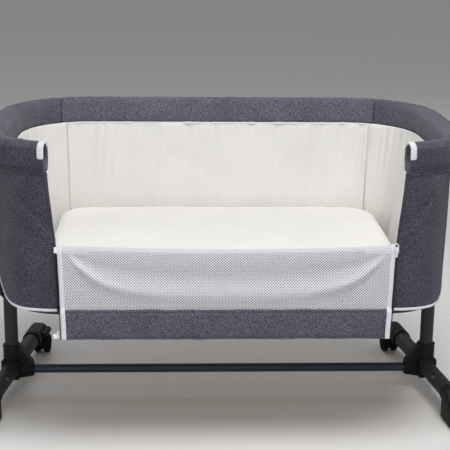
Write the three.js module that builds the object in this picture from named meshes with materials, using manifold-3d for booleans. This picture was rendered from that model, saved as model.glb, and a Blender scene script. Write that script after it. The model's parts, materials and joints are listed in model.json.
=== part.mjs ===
// Bassinet on stand: a bedside sleeper for a baby, with a rounded fabric basket that rides up and
// down on two telescopic posts, a drop side, and an H-shaped tube stand with rear castors.
// Millimetres, +X to the right, +Y to the back, +Z up. The origin is on the floor, at the middle of
// the whole object's box.
import * as THREE from "three";
import { mergeVertices } from "three/addons/utils/BufferGeometryUtils.js";
import Module from "manifold-3d";

const wasm = await Module();
wasm.setup();

// ---------- driving dimensions ----------
const GAP = 0.3; // between pieces that touch
const CENTRE_Y = 6.5; // from the posts' plane to the middle of the object's depth

const BASKET = { halfLength: 470, halfWidth: 291, cornerRadius: 190 };
const RAIL = { top: 590, height: 56, endThickness: 46, sideThickness: 24, tubeRadius: 10, tubeDrop: 15 };
const OPENING = { atRail: 334, atFold: 320, atBase: 318, backSeam: 278 };
const SKIN = { thickness: 3, bottom: 277, topInset: 2.5, bottomInset: 5.5 };
const SKIN_FOOT = { reach: 466.5, slope: 0.24, peak: 12, squareness: 6 }; // the cover's foot at an end
const SKIN_WAIST = { z: 500, share: 0.2 }; // how far the cover has widened towards the rail at this height
const LINING = {
  thickness: 3,
  bottom: 289,
  top: { end: 49, side: 27, corner: 38 },
  base: { end: 102, side: 37, corner: 40 },
};
const FRONT_WALL = { halfLength: 316, outer: 288.5, inner: 254, top: 397, bottom: 281.5 };
const FOLD = { y: -293, z: 400 };
const PANEL = { halfLength: 306, bottom: 222, bandHeight: 58, bandThickness: 16, meshThickness: 3 };
const ZIP_SLIDER = { width: 7, height: 15, depth: 8, x: 307.5, travel: 155 };
const BASE_RING = { halfLength: 410, halfWidth: 270, cornerRadius: 105, tubeRadius: 9, z: 271 };
const BOARD = { thickness: 6, halfLength: 428, halfWidth: 276, cornerRadius: 150 };
const MATTRESS = { halfLength: 360, halfWidth: 246, cornerRadius: 62, bottom: 288.5, top: 345 };

const POST = { x: 443, radius: 14, wall: 1.8, top: 505 };
const SLEEVE = { radius: 17, bottom: 214, top: 520 };
const HOUSING = { bottom: 216, top: 259, width: 38.4, depth: 46, corner: 9 };
const HEIGHT_BUTTON = { radius: 9, travel: 4, proud: 3.4, z: 238 };

const FOOT = { z: 50, radius: 17, wall: 2.4, splay: THREE.MathUtils.degToRad(7), front: 168, rear: 178 };
const CROSSBAR = { z: 47, radius: 9.3, wall: 1.5 };
const BRACKET = {
  width: 40, depth: 46, corner: 7, edge: 3, bottom: 29, top: 71,
  socketTop: 103, socketRadius: 18.5, barSocketEnd: 397, barWall: 4.2, gussetDepth: 24,
};
const BOLT = { radius: 2.1, headRadius: 4.2, headHeight: 3.2, fromSocketEnd: 9 };
const TOE = { start: 154, end: 238, width: 40, height: 69, tip: 26, spigotEnd: 72, padHeight: 4 };
const FOOT_BUTTON = { at: 92, radius: 3.8, proud: 2.6, tilt: THREE.MathUtils.degToRad(35) };
const REAR_CAP = {
  sleeveStart: 162, sleeveEnd: 181, end: 247, hoodWidth: 35, hoodBottom: 46.5, hoodTop: 65,
  lugReach: 29, lugStart: 190, lugTop: 58,
};
const CASTOR = {
  at: 217, inboard: 11, trail: 8, wheelRadius: 22, wheelWidth: 12, bodyWidth: 10, axleRadius: 4,
  stemRadius: 4.7, discRadius: 14, discHeight: 1.4, hubRadius: 15,
};
const PEDAL = { armHalf: 2.5, pinRadius: 1.5, treadBottom: 20, treadTop: 25, fromAxle: 31 };

const ROUND = 20; // sides of a visible round piece

// ---------- solids ----------
function solid(geometry) {
  const bare = geometry.index ? geometry.toNonIndexed() : geometry.clone();
  bare.deleteAttribute("normal");
  bare.deleteAttribute("uv");
  const merged = mergeVertices(bare, 1e-4);
  const triVerts = new Uint32Array(merged.index.array);
  const vertProperties = merged.attributes.position.array;
  const made = new wasm.Manifold(new wasm.Mesh({ numProp: 3, vertProperties, triVerts }));
  if (made.volume() > 0) return made;
  return new wasm.Manifold(new wasm.Mesh({ numProp: 3, vertProperties, triVerts: triVerts.reverse() }));
}

function geometryOf(manifold) {
  const { numProp, numVert, vertProperties, triVerts } = manifold.getMesh();
  const position = new Float32Array(numVert * 3);
  for (let i = 0; i < numVert; i++) {
    position.set(vertProperties.subarray(i * numProp, i * numProp + 3), i * 3);
  }
  return new THREE.BufferGeometry()
    .setAttribute("position", new THREE.BufferAttribute(position, 3))
    .setIndex(new THREE.BufferAttribute(triVerts, 1));
}

const moved = (geometry, x, y, z) => geometry.translate(x, y, z);

function roundedOutline(halfX, halfY, radius) {
  const shape = new THREE.Shape();
  shape.moveTo(-halfX + radius, -halfY);
  shape.lineTo(halfX - radius, -halfY);
  shape.absarc(halfX - radius, -halfY + radius, radius, -Math.PI / 2, 0);
  shape.lineTo(halfX, halfY - radius);
  shape.absarc(halfX - radius, halfY - radius, radius, 0, Math.PI / 2);
  shape.lineTo(-halfX + radius, halfY);
  shape.absarc(-halfX + radius, halfY - radius, radius, Math.PI / 2, Math.PI);
  shape.lineTo(-halfX, -halfY + radius);
  shape.absarc(-halfX + radius, -halfY + radius, radius, Math.PI, 1.5 * Math.PI);
  return shape;
}

// A flat piece: an outline in X and Y, from one height to another, with an optional rounded edge.
function plate(outline, bottom, top, edge = 0, curveSegments = 3) {
  const geometry = new THREE.ExtrudeGeometry(outline, {
    depth: top - bottom - 2 * edge,
    bevelEnabled: edge > 0,
    bevelThickness: edge,
    bevelSize: edge,
    bevelOffset: -edge,
    bevelSegments: 1,
    curveSegments,
  });
  return solid(moved(geometry, 0, 0, bottom + edge));
}

// A round piece about the Z axis, from a profile of [radius, height] pairs that closes on itself.
function turned(profile, sides = ROUND) {
  const points = profile.concat([profile[0]]).map(([r, z]) => new THREE.Vector2(r, z));
  return solid(new THREE.LatheGeometry(points, sides).rotateX(Math.PI / 2));
}

const rod = (radius, from, to, sides = ROUND) =>
  turned([[0, from], [radius, from], [radius, to], [0, to]], sides);

const pipe = (radius, wall, from, to, sides = ROUND) =>
  turned([[radius - wall, from], [radius, from], [radius, to], [radius - wall, to]], sides);

// A solid of the same outline all along X, from its outline in Y and Z.
function alongX(outline, from, to, edge = 0) {
  const geometry = new THREE.ExtrudeGeometry(outline, {
    depth: to - from - 2 * edge,
    bevelEnabled: edge > 0,
    bevelThickness: edge,
    bevelSize: edge,
    bevelOffset: -edge,
    bevelSegments: 1,
    curveSegments: 5,
  });
  geometry.applyMatrix4(new THREE.Matrix4().set(0, 0, 1, from + edge, 1, 0, 0, 0, 0, 1, 0, 0, 0, 0, 0, 1));
  return solid(geometry);
}

const polygon = (points) => new THREE.Shape(points.map(([x, y]) => new THREE.Vector2(x, y)));

// A closed solid through rings of points, each ring an outline with the same number of corners.
function lofted(rings) {
  const corners = rings[0].length;
  const position = rings.flat().flatMap((p) => [p.x, p.y, p.z]);
  const index = [];
  for (let r = 0; r + 1 < rings.length; r++) {
    for (let c = 0; c < corners; c++) {
      const a = r * corners + c;
      const b = r * corners + ((c + 1) % corners);
      index.push(a, b, b + corners, a, b + corners, a + corners);
    }
  }
  for (const r of [0, rings.length - 1]) {
    const middle = new THREE.Vector3();
    rings[r].forEach((p) => middle.addScaledVector(p, 1 / corners));
    const hub = position.length / 3;
    position.push(middle.x, middle.y, middle.z);
    for (let c = 0; c < corners; c++) {
      const a = r * corners + c;
      const b = r * corners + ((c + 1) % corners);
      index.push(...(r === 0 ? [hub, b, a] : [hub, a, b]));
    }
  }
  const geometry = new THREE.BufferGeometry()
    .setAttribute("position", new THREE.Float32BufferAttribute(position, 3))
    .setIndex(index);
  return solid(geometry);
}

// ---------- the plan of a rounded basket ----------
// The outline runs from the front's middle round one end to the back's middle. A place on it is its
// distance along the outline; it gives a point and the outward direction there.
function planAt(plan, distance, side) {
  const { halfLength: a, halfWidth: b, cornerRadius: r } = plan;
  const quarter = (Math.PI / 2) * r;
  const legs = [a - r, quarter, 2 * (b - r), quarter];
  let d = distance;
  const onArc = (cy, from) => {
    const angle = from + d / r;
    const nx = Math.sin(angle);
    const ny = -Math.cos(angle);
    return { x: a - r + r * nx, y: cy + r * ny, nx, ny };
  };
  let p;
  if (d <= legs[0]) p = { x: d, y: -b, nx: 0, ny: -1 };
  else if ((d -= legs[0]) <= legs[1]) p = onArc(-(b - r), 0);
  else if ((d -= legs[1]) <= legs[2]) p = { x: a, y: -(b - r) + d, nx: 1, ny: 0 };
  else if ((d -= legs[2]) <= legs[3]) p = onArc(b - r, Math.PI / 2);
  else p = { x: a - r - (d - legs[3]), y: b, nx: 0, ny: 1 };
  return { x: side * p.x, y: p.y, nx: side * p.nx, ny: p.ny };
}

const planHalf = ({ halfLength: a, halfWidth: b, cornerRadius: r }) =>
  2 * (a - r) + Math.PI * r + 2 * (b - r);

// An inset that differs between the ends, the long sides and the corners between them.
const insetAt = ({ nx, ny }, { end, side, corner }) =>
  end * nx ** 4 + side * ny ** 4 + 2 * corner * nx ** 2 * ny ** 2;

// Stops along the plan, close together only round the corners.
function stops(plan, from, to, cornerSteps) {
  const { halfLength: a, halfWidth: b, cornerRadius: r } = plan;
  const quarter = (Math.PI / 2) * r;
  const bends = [a - r, a - r + quarter + 2 * (b - r)];
  const list = [from, to];
  for (const bend of bends) {
    for (let i = 0; i <= cornerSteps; i++) list.push(bend + (quarter * i) / cornerSteps);
  }
  list.push(a - r + quarter + (b - r));
  return [...new Set(list.filter((s) => s >= from && s <= to))].sort((s, t) => s - t);
}

// The cover's foot is squarer at its corners than the rail. Its ends lean in from the posts' sleeves to
// the corners, as cloth drawn tight over the sleeves does.
function footInset({ y, nx, ny }) {
  const { halfLength, halfWidth, cornerRadius } = BASKET;
  const { reach, slope, peak, squareness } = SKIN_FOOT;
  if (Math.abs(nx) < 1e-9) return SKIN.bottomInset;
  if (Math.abs(ny) < 1e-9) return halfLength - (reach - slope * Math.hypot(y, peak));
  const across = Math.abs(nx);
  const along = Math.abs(ny);
  const toSide = (cornerRadius - SKIN.bottomInset) / along;
  const room = reach - slope * (halfWidth - cornerRadius) - (halfLength - cornerRadius);
  const toEnd = room / (across + slope * along);
  return cornerRadius - (toSide ** -squareness + toEnd ** -squareness) ** (-1 / squareness);
}

function point(place, inset, z) {
  return new THREE.Vector3(place.x - place.nx * inset, place.y - place.ny * inset, z);
}

// A round bar that follows the plan at one height. An overrun carries both its ends straight on.
function barAlong(plan, side, from, to, insetOf, z, radius, overrun = 0, sides = 10) {
  const ring = (s, past) => {
    const place = planAt(plan, s, side);
    const inset = insetOf(place);
    const onward = new THREE.Vector3(-side * place.ny, side * place.nx, 0).multiplyScalar(past);
    return Array.from({ length: sides }, (_, i) => {
      const angle = (2 * Math.PI * i) / sides;
      const p = point(place, inset + radius * Math.cos(angle), z + radius * Math.sin(angle));
      return p.add(onward);
    });
  };
  const rings = stops(plan, from, to, 5).map((s) => ring(s, 0));
  if (overrun > 0) {
    rings.unshift(ring(from, -overrun));
    rings.push(ring(to, overrun));
  }
  return lofted(rings);
}

// ---------- colours and the parts' group ----------
const FINISH = {
  chambray: { color: 0x5a5a68, roughness: 0.95, metalness: 0 },
  lining: { color: 0xe4e0d8, roughness: 0.95, metalness: 0 },
  mattress: { color: 0xeeeae4, roughness: 0.95, metalness: 0 },
  mesh: { color: 0xe2e4ea, roughness: 0.9, metalness: 0 },
  board: { color: 0xb79b76, roughness: 0.8, metalness: 0 },
  paint: { color: 0x2d323e, roughness: 0.45, metalness: 0.4 },
  steel: { color: 0x9a9ca0, roughness: 0.35, metalness: 1 },
  plastic: { color: 0x17191b, roughness: 0.55, metalness: 0 },
  rubber: { color: 0x101112, roughness: 0.9, metalness: 0 },
  white: { color: 0xe8e8ec, roughness: 0.5, metalness: 0 },
};

const bassinet = new THREE.Group();
bassinet.position.y = CENTRE_Y;
const whole = new THREE.Group().add(bassinet);

function add(name, manifold, finish, parent = bassinet) {
  const mesh = new THREE.Mesh(geometryOf(manifold), new THREE.MeshStandardMaterial(FINISH[finish]));
  mesh.name = name;
  parent.add(mesh);
}

const SIDES = [
  { side: -1, label: "left" },
  { side: 1, label: "right" },
];

// ---------- the basket's rail ----------
const railInset = { end: RAIL.endThickness, side: RAIL.sideThickness, corner: 34 };
const railEnd = planHalf(BASKET) - OPENING.backSeam;

// The padded band's outline across its thickness: flat faces, a rounded crest and a softer lower edge.
function railSection(thickness) {
  const crest = Math.min(thickness / 2, 15);
  const foot = 4;
  const points = [];
  for (let i = 0; i <= 4; i++) {
    const angle = (Math.PI / 2) * (i / 4);
    points.push([crest - crest * Math.cos(angle), RAIL.top - crest + crest * Math.sin(angle)]);
  }
  for (let i = 0; i <= 4; i++) {
    const angle = (Math.PI / 2) * (1 - i / 4);
    points.push([thickness - crest + crest * Math.cos(angle), RAIL.top - crest + crest * Math.sin(angle)]);
  }
  const bottom = RAIL.top - RAIL.height;
  points.push([thickness, bottom + foot], [thickness - foot, bottom], [foot, bottom], [0, bottom + foot]);
  return points;
}

function railCover(side) {
  const rings = stops(BASKET, OPENING.atRail, railEnd - GAP, 5).map((s) => {
    const place = planAt(BASKET, s, side);
    return railSection(insetAt(place, railInset)).map(([inset, z]) => point(place, inset, z));
  });
  return lofted(rings);
}

const railTubeZ = RAIL.top - RAIL.tubeDrop;
const railTubeInset = (place) => insetAt(place, railInset) / 2;
const railBar = (side, radius, overrun) =>
  barAlong(BASKET, side, OPENING.atRail, railEnd - GAP, railTubeInset, railTubeZ, radius, overrun);

for (const { side, label } of SIDES) {
  const passage = railBar(side, RAIL.tubeRadius + GAP, 5);
  add("rail_cover_" + label, railCover(side).subtract(passage), "chambray");
  const tube = railBar(side, RAIL.tubeRadius, 0);
  const bore = railBar(side, RAIL.tubeRadius - 1.6, 5);
  add("rail_tube_" + label, tube.subtract(bore), "paint");
}

{
  const across = railSection(RAIL.sideThickness).map(([inset, z]) => [BASKET.halfWidth - inset, z]);
  const tubeY = BASKET.halfWidth - RAIL.sideThickness / 2;
  const turn = new THREE.Matrix4().makeRotationY(Math.PI / 2).setPosition(0, tubeY, railTubeZ);
  const reach = OPENING.backSeam;
  const lying = (manifold) => solid(geometryOf(manifold).applyMatrix4(turn));
  const passage = lying(rod(RAIL.tubeRadius + GAP, -reach - 5, reach + 5, 12));
  add("rail_cover_back", alongX(polygon(across), -reach, reach).subtract(passage), "chambray");
  add("rail_tube_back", lying(pipe(RAIL.tubeRadius, 1.6, -reach, reach, 12)), "paint");
}

// ---------- the fabric walls ----------
const skinTop = RAIL.top - RAIL.height - GAP;

// A sheet of cloth round one end, through levels from its foot to its head. Each level is a height and
// its inset as a function of the place.
function endSheet(side, from, to, thickness, steps, levels) {
  const rings = stops(BASKET, from, to, steps).map((s) => {
    const place = planAt(BASKET, s, side);
    const outside = levels.map(([z, inset]) => point(place, inset(place), z));
    const inside = levels.map(([z, inset]) => point(place, inset(place) + thickness, z));
    return [outside[0], ...inside, ...outside.slice(1).reverse()];
  });
  return lofted(rings);
}

// The cover hangs nearly straight from under the rail, where it flares out to meet it.
const waistInset = (place) =>
  footInset(place) * (1 - SKIN_WAIST.share) + SKIN.topInset * SKIN_WAIST.share;

// The front edge of an end's cover leans: it is nearer the middle at the fold than at the rail.
function leaningCut(side) {
  const edge = [
    [OPENING.atBase - 30, SKIN.bottom - 5],
    [OPENING.atBase, SKIN.bottom - 5],
    [OPENING.atFold, FOLD.z],
    [OPENING.atRail, RAIL.top],
    [OPENING.atBase - 30, RAIL.top],
  ].map(([x, z]) => [side * x, z]);
  const depth = 60;
  const geometry = new THREE.ExtrudeGeometry(polygon(edge), { depth, bevelEnabled: false });
  geometry.rotateX(Math.PI / 2).translate(0, -BASKET.halfWidth + depth - 5, 0);
  return solid(geometry);
}

for (const { side, label } of SIDES) {
  const start = OPENING.atBase - 8;
  const outer = endSheet(side, start, railEnd - GAP, SKIN.thickness, 6, [
    [SKIN.bottom, footInset],
    [SKIN_WAIST.z, waistInset],
    [skinTop, () => SKIN.topInset],
  ]);
  const inner = endSheet(side, start, railEnd - GAP, LINING.thickness, 5, [
    [LINING.bottom, (place) => insetAt(place, LINING.base)],
    [skinTop, (place) => insetAt(place, LINING.top)],
  ]);
  add("outer_cover_" + label, outer.subtract(leaningCut(side)), "chambray");
  add("lining_" + label, inner.subtract(leaningCut(side)), "lining");
}

function backSheet(bottom, top, thickness, foot, head) {
  const y = BASKET.halfWidth;
  const across = [
    [y - foot, bottom],
    [y - foot - thickness, bottom],
    [y - head - thickness, top],
    [y - head, top],
  ];
  return alongX(polygon(across), -OPENING.backSeam, OPENING.backSeam);
}

add(
  "outer_cover_back",
  backSheet(SKIN.bottom, skinTop, SKIN.thickness, SKIN.bottomInset, SKIN.topInset),
  "chambray",
);
add(
  "lining_back",
  backSheet(LINING.bottom, skinTop, LINING.thickness, LINING.base.side, LINING.top.side),
  "lining",
);

// The fixed lower part of the front, padded, thin along its top where the drop side folds over it.
{
  const { outer, inner, top, bottom, halfLength } = FRONT_WALL;
  const across = [
    [-outer, bottom],
    [-outer, top - 2],
    [-outer + 2, top],
    [-outer + 6, top - 2],
    [-inner - 6, MATTRESS.top],
    [-inner, MATTRESS.top - 25],
    [-inner, bottom + 9],
    [-inner - 8, bottom],
  ];
  add("front_wall", alongX(polygon(across), -halfLength, halfLength), "lining");
}

// ---------- the basket's floor ----------
const ringTop = BASE_RING.z + BASE_RING.tubeRadius;
const ringHalf = planHalf(BASE_RING);
const ringJoint = 250; // from the middle of the long sides to where the end tubes plug in

for (const { side, label } of SIDES) {
  const bar = (radius, overrun) =>
    barAlong(BASE_RING, side, ringJoint, ringHalf - ringJoint, () => 0, BASE_RING.z, radius, overrun);
  const tube = bar(BASE_RING.tubeRadius, 0);
  const bore = bar(BASE_RING.tubeRadius - 1.5, 5);
  add("base_tube_" + label, tube.subtract(bore), "paint");
}
for (const [label, y] of [["front", -BASE_RING.halfWidth], ["back", BASE_RING.halfWidth]]) {
  const reach = ringJoint - GAP;
  const lying = geometryOf(pipe(BASE_RING.tubeRadius, 1.5, -reach, reach, 12));
  lying.rotateY(Math.PI / 2).translate(0, y, BASE_RING.z);
  add("base_tube_" + label, solid(lying), "paint");
}

// The board stops short of the sleeves, which pass it at both ends.
{
  const outline = roundedOutline(BOARD.halfLength, BOARD.halfWidth, BOARD.cornerRadius);
  let board = plate(outline, ringTop + GAP, ringTop + GAP + BOARD.thickness, 0, 6);
  for (const { side } of SIDES) {
    const clearance = rod(SLEEVE.radius + 2, ringTop - 5, ringTop + 20);
    board = board.subtract(clearance.translate([side * POST.x, 0, 0]));
  }
  const frontTrim = plate(roundedOutline(500, 20, 1), ringTop - 5, ringTop + 20, 0, 1);
  const trimY = -FRONT_WALL.inner - 20 + 1;
  add("base_board", board.subtract(frontTrim.translate([0, trimY, 0])), "board");
}

{
  const outline = roundedOutline(MATTRESS.halfLength, MATTRESS.halfWidth, MATTRESS.cornerRadius);
  add("mattress", plate(outline, MATTRESS.bottom, MATTRESS.top, 10, 6), "mattress");
}

// ---------- the drop side ----------
{
  const { halfLength, bottom, bandHeight, bandThickness, meshThickness } = PANEL;
  const middle = FOLD.y - 3;
  const tubeZ = bottom + 13;
  const half = bandThickness / 2;
  const round = 7;
  const band = roundedOutline(half, bandHeight / 2, round);
  const shape = alongX(band, -halfLength, halfLength).translate([0, middle, bottom + bandHeight / 2]);
  const turn = new THREE.Matrix4().makeRotationY(Math.PI / 2).setPosition(0, middle, tubeZ);
  const lying = (manifold) => solid(geometryOf(manifold).applyMatrix4(turn));
  const tubeRadius = 5.5;
  const passage = lying(rod(tubeRadius + GAP, -halfLength - 5, halfLength + 5, 12));
  add("drop_band_cover", shape.subtract(passage), "chambray");
  add("drop_rail_tube", lying(pipe(tubeRadius, 1.2, -halfLength + 3, halfLength - 3, 12)), "paint");
  const sheet = polygon([
    [middle - meshThickness / 2, bottom + bandHeight + GAP],
    [middle + meshThickness / 2, bottom + bandHeight + GAP],
    [middle + meshThickness / 2, FOLD.z - 4],
    [middle - meshThickness / 2, FOLD.z - 4],
  ]);
  add("drop_mesh", alongX(sheet, -halfLength, halfLength), "mesh");
}

// The left zip slider rests at the foot of its tape, the right one at the head.
for (const { side, label } of SIDES) {
  const { width, height, depth, x, travel } = ZIP_SLIDER;
  const foot = PANEL.bottom + 2 + (side > 0 ? travel : 0);
  const body = plate(roundedOutline(width / 2, depth / 2, 2), foot, foot + height, 1, 2);
  add("zip_slider_" + label, body.translate([side * (x + width / 2), FOLD.y - 3, 0]), "white");
}

// ---------- posts, sleeves and height catches ----------
for (const { side, label } of SIDES) {
  const upright = new THREE.Group();
  upright.position.x = side * POST.x;
  bassinet.add(upright);

  const postBottom = FOOT.z + FOOT.radius + 1;
  add("post_" + label, pipe(POST.radius, POST.wall, postBottom, POST.top), "paint", upright);

  const clear = POST.radius + GAP;
  const boreAt = HEIGHT_BUTTON.z;
  const pinHole = geometryOf(rod(HEIGHT_BUTTON.radius + GAP, clear - 2, 60));
  pinHole.rotateY((side * Math.PI) / 2).translate(0, 0, boreAt);
  const window = solid(pinHole);
  const sleeve = pipe(SLEEVE.radius, SLEEVE.radius - clear, SLEEVE.bottom, SLEEVE.top);
  add("post_sleeve_" + label, sleeve.subtract(window), "paint", upright);

  const block = plate(
    roundedOutline(HOUSING.width / 2, HOUSING.depth / 2, HOUSING.corner), HOUSING.bottom, HOUSING.top, 2,
  );
  const throughSleeve = rod(SLEEVE.radius + GAP, HOUSING.bottom - 5, HOUSING.top + 5);
  add("height_housing_" + label, block.subtract(throughSleeve).subtract(window), "plastic", upright);

  const inner = clear + HEIGHT_BUTTON.travel + 0.5;
  const outer = HOUSING.width / 2 + HEIGHT_BUTTON.proud;
  const cap = turned([
    [0, inner],
    [HEIGHT_BUTTON.radius, inner],
    [HEIGHT_BUTTON.radius, outer - 2],
    [HEIGHT_BUTTON.radius - 2, outer],
    [0, outer],
  ]);
  const button = geometryOf(cap).rotateY((side * Math.PI) / 2).translate(0, 0, boreAt);
  add("height_button_" + label, solid(button), "plastic", upright);
}

// ---------- the stand ----------
// Each foot has its own group at its post, turned so that its local -Y runs out along the foot.
for (const { side, label } of SIDES) {
  const foot = new THREE.Group();
  foot.position.x = side * POST.x;
  foot.rotation.z = side * FOOT.splay;
  bassinet.add(foot);

  const alongFoot = (manifold) => solid(geometryOf(manifold).rotateX(Math.PI / 2).translate(0, 0, FOOT.z));
  const inboard = -side;

  // a hole for the snap button, tilted up on the inboard side
  const radial = (manifold) => {
    const geometry = geometryOf(manifold).rotateY(inboard * (Math.PI / 2 - FOOT_BUTTON.tilt));
    return solid(geometry.translate(0, -FOOT_BUTTON.at, FOOT.z));
  };
  const buttonHole = radial(rod(FOOT_BUTTON.radius + GAP, 5, 30, 16));

  const tube = alongFoot(pipe(FOOT.radius, FOOT.wall, -FOOT.rear, FOOT.front));
  add("foot_tube_" + label, tube.subtract(buttonHole), "paint", foot);

  // toe: a moulded foot that plugs into the tube's front end and reaches down to its pad
  const spigotRadius = FOOT.radius - FOOT.wall - GAP;
  const spigot = alongFoot(pipe(spigotRadius, 2.4, TOE.spigotEnd, TOE.start + 20));
  const collar = alongFoot(rod(FOOT.radius + 3, TOE.start, TOE.start + 22));
  const nose = polygon([
    [-(TOE.start + 8), TOE.padHeight + GAP],
    [-(TOE.end - 6), TOE.padHeight + GAP],
    [-TOE.end, TOE.padHeight + 6],
    [-TOE.end, TOE.tip],
    [-(TOE.end - 8), TOE.tip + 7],
    [-(TOE.start + 30), TOE.height],
    [-(TOE.start + 8), TOE.height],
  ]);
  const toeBody = alongX(nose, -TOE.width / 2, TOE.width / 2, 3);
  const seat = alongFoot(rod(FOOT.radius + GAP, TOE.start - 20, FOOT.front + GAP));
  const socketCore = alongFoot(rod(spigotRadius - 2.4, TOE.start - 20, FOOT.front + GAP));
  const shell = collar.add(toeBody).subtract(seat).add(spigot).subtract(socketCore).subtract(buttonHole);
  add("toe_" + label, shell, "plastic", foot);

  const padOutline = roundedOutline(TOE.width / 2 - 4, (TOE.end - TOE.start) / 2 - 8, 6);
  const padY = -(TOE.start + TOE.end) / 2 - 2;
  add("toe_pad_" + label, plate(padOutline, 0, TOE.padHeight, 0, 3).translate([0, padY, 0]), "rubber", foot);

  const flange = spigotRadius - 2.4 - GAP;
  const snap = turned(
    [
      [0, flange - 2.2],
      [FOOT_BUTTON.radius + 0.9, flange - 2.2],
      [FOOT_BUTTON.radius + 0.9, flange - 0.9],
      [FOOT_BUTTON.radius, flange - 0.9],
      [FOOT_BUTTON.radius, FOOT.radius + FOOT_BUTTON.proud - 1.2],
      [FOOT_BUTTON.radius - 1.4, FOOT.radius + FOOT_BUTTON.proud],
      [0, FOOT.radius + FOOT_BUTTON.proud],
    ],
    16,
  );
  add("foot_button_" + label, radial(snap), "steel", foot);

  // rear cap: a sleeve over the tube's end and a hood over the castor
  const sleeveOuter = alongFoot(rod(FOOT.radius + 3.5, -REAR_CAP.sleeveEnd, -REAR_CAP.sleeveStart));
  const hoodStart = REAR_CAP.sleeveEnd - 12;
  const hoodHalf = (REAR_CAP.end - hoodStart) / 2;
  const hood = plate(
    roundedOutline(REAR_CAP.hoodWidth / 2, hoodHalf, 12), REAR_CAP.hoodBottom, REAR_CAP.hoodTop, 4,
  ).translate([0, hoodStart + hoodHalf, 0]);
  const lugHalf = (REAR_CAP.end - 2 - REAR_CAP.lugStart) / 2;
  const lug = plate(
    roundedOutline(REAR_CAP.lugReach / 2, lugHalf, 10), REAR_CAP.hoodBottom, REAR_CAP.lugTop, 3,
  ).translate([inboard * (REAR_CAP.lugReach / 2), REAR_CAP.lugStart + lugHalf, 0]);
  const tubeSeat = alongFoot(rod(FOOT.radius + GAP, -FOOT.rear - GAP, -REAR_CAP.sleeveStart + 5));
  const stemHole = rod(5, REAR_CAP.hoodBottom - 5, REAR_CAP.lugTop - 2, 16);
  const castorX = inboard * CASTOR.inboard;
  const cap = sleeveOuter.add(hood).add(lug).subtract(tubeSeat);
  add("rear_cap_" + label, cap.subtract(stemHole.translate([castorX, CASTOR.at, 0])), "plastic", foot);

  addBracket(side, label);
  addCastor(foot, castorX, label, side);
}

// The moulding that joins post, foot tube and crossbar.
function addBracket(side, label) {
  const inboard = -side;
  const turn = (manifold) =>
    solid(geometryOf(manifold).rotateX(Math.PI / 2).translate(0, 0, FOOT.z).rotateZ(side * FOOT.splay));
  const alongBar = (manifold) => {
    const geometry = geometryOf(manifold).rotateY(inboard * (Math.PI / 2));
    return solid(geometry.translate(0, 0, CROSSBAR.z));
  };
  const outline = roundedOutline(BRACKET.width / 2, BRACKET.depth / 2, BRACKET.corner);
  const splay = THREE.MathUtils.radToDeg(side * FOOT.splay);
  const block = plate(outline, BRACKET.bottom, BRACKET.top, BRACKET.edge).rotate([0, 0, splay]);
  const socket = rod(BRACKET.socketRadius, BRACKET.bottom + 20, BRACKET.socketTop);
  const barReach = POST.x - BRACKET.barSocketEnd;
  const barSocket = alongBar(rod(CROSSBAR.radius + BRACKET.barWall, 10, barReach));
  const web = polygon([
    [inboard * 8, BRACKET.bottom + 2],
    [inboard * 20, BRACKET.bottom + 2],
    [inboard * (barReach - 1), CROSSBAR.z - 12],
    [inboard * (barReach - 1), CROSSBAR.z + 15],
    [inboard * 15, BRACKET.socketTop - 1],
    [inboard * 8, BRACKET.socketTop - 1],
  ]);
  const gusset = new THREE.ExtrudeGeometry(web, { depth: BRACKET.gussetDepth, bevelEnabled: false });
  gusset.rotateX(Math.PI / 2).translate(0, BRACKET.gussetDepth / 2, 0);
  const postHole = rod(POST.radius + GAP, FOOT.z, BRACKET.socketTop + 5);
  const footHole = turn(rod(FOOT.radius + GAP, -80, 80));
  const barHole = alongBar(rod(CROSSBAR.radius + GAP, 0, barReach + 5));
  const boltX = inboard * (barReach - BOLT.fromSocketEnd);
  const boltHole = rod(BOLT.radius + GAP, BRACKET.bottom, CROSSBAR.z, 12).translate([boltX, 0, 0]);
  const seat = CROSSBAR.z - CROSSBAR.radius - BRACKET.barWall;
  const headHole = rod(BOLT.headRadius + GAP, BRACKET.bottom - 5, seat, 16).translate([boltX, 0, 0]);
  const bracket = block.add(socket).add(barSocket).add(solid(gusset));
  const open = bracket.subtract(postHole).subtract(footHole).subtract(barHole);
  const cut = open.subtract(boltHole).subtract(headHole);
  add("bracket_" + label, cut.translate([side * POST.x, 0, 0]), "plastic");

  const tip = CROSSBAR.z - CROSSBAR.radius - GAP;
  const bolt = turned(
    [
      [0, seat - BOLT.headHeight],
      [BOLT.headRadius - 0.8, seat - BOLT.headHeight],
      [BOLT.headRadius, seat - BOLT.headHeight + 1.2],
      [BOLT.headRadius, seat - GAP],
      [BOLT.radius, seat - GAP],
      [BOLT.radius, tip],
      [0, tip],
    ],
    16,
  );
  add("bracket_bolt_" + label, bolt.translate([side * POST.x + boltX, 0, 0]), "steel");
}

{
  const reach = POST.x - FOOT.radius - 1.2;
  const bar = geometryOf(pipe(CROSSBAR.radius, CROSSBAR.wall, -reach, reach));
  bar.rotateY(Math.PI / 2).translate(0, 0, CROSSBAR.z);
  add("crossbar", solid(bar), "paint");
}

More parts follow.
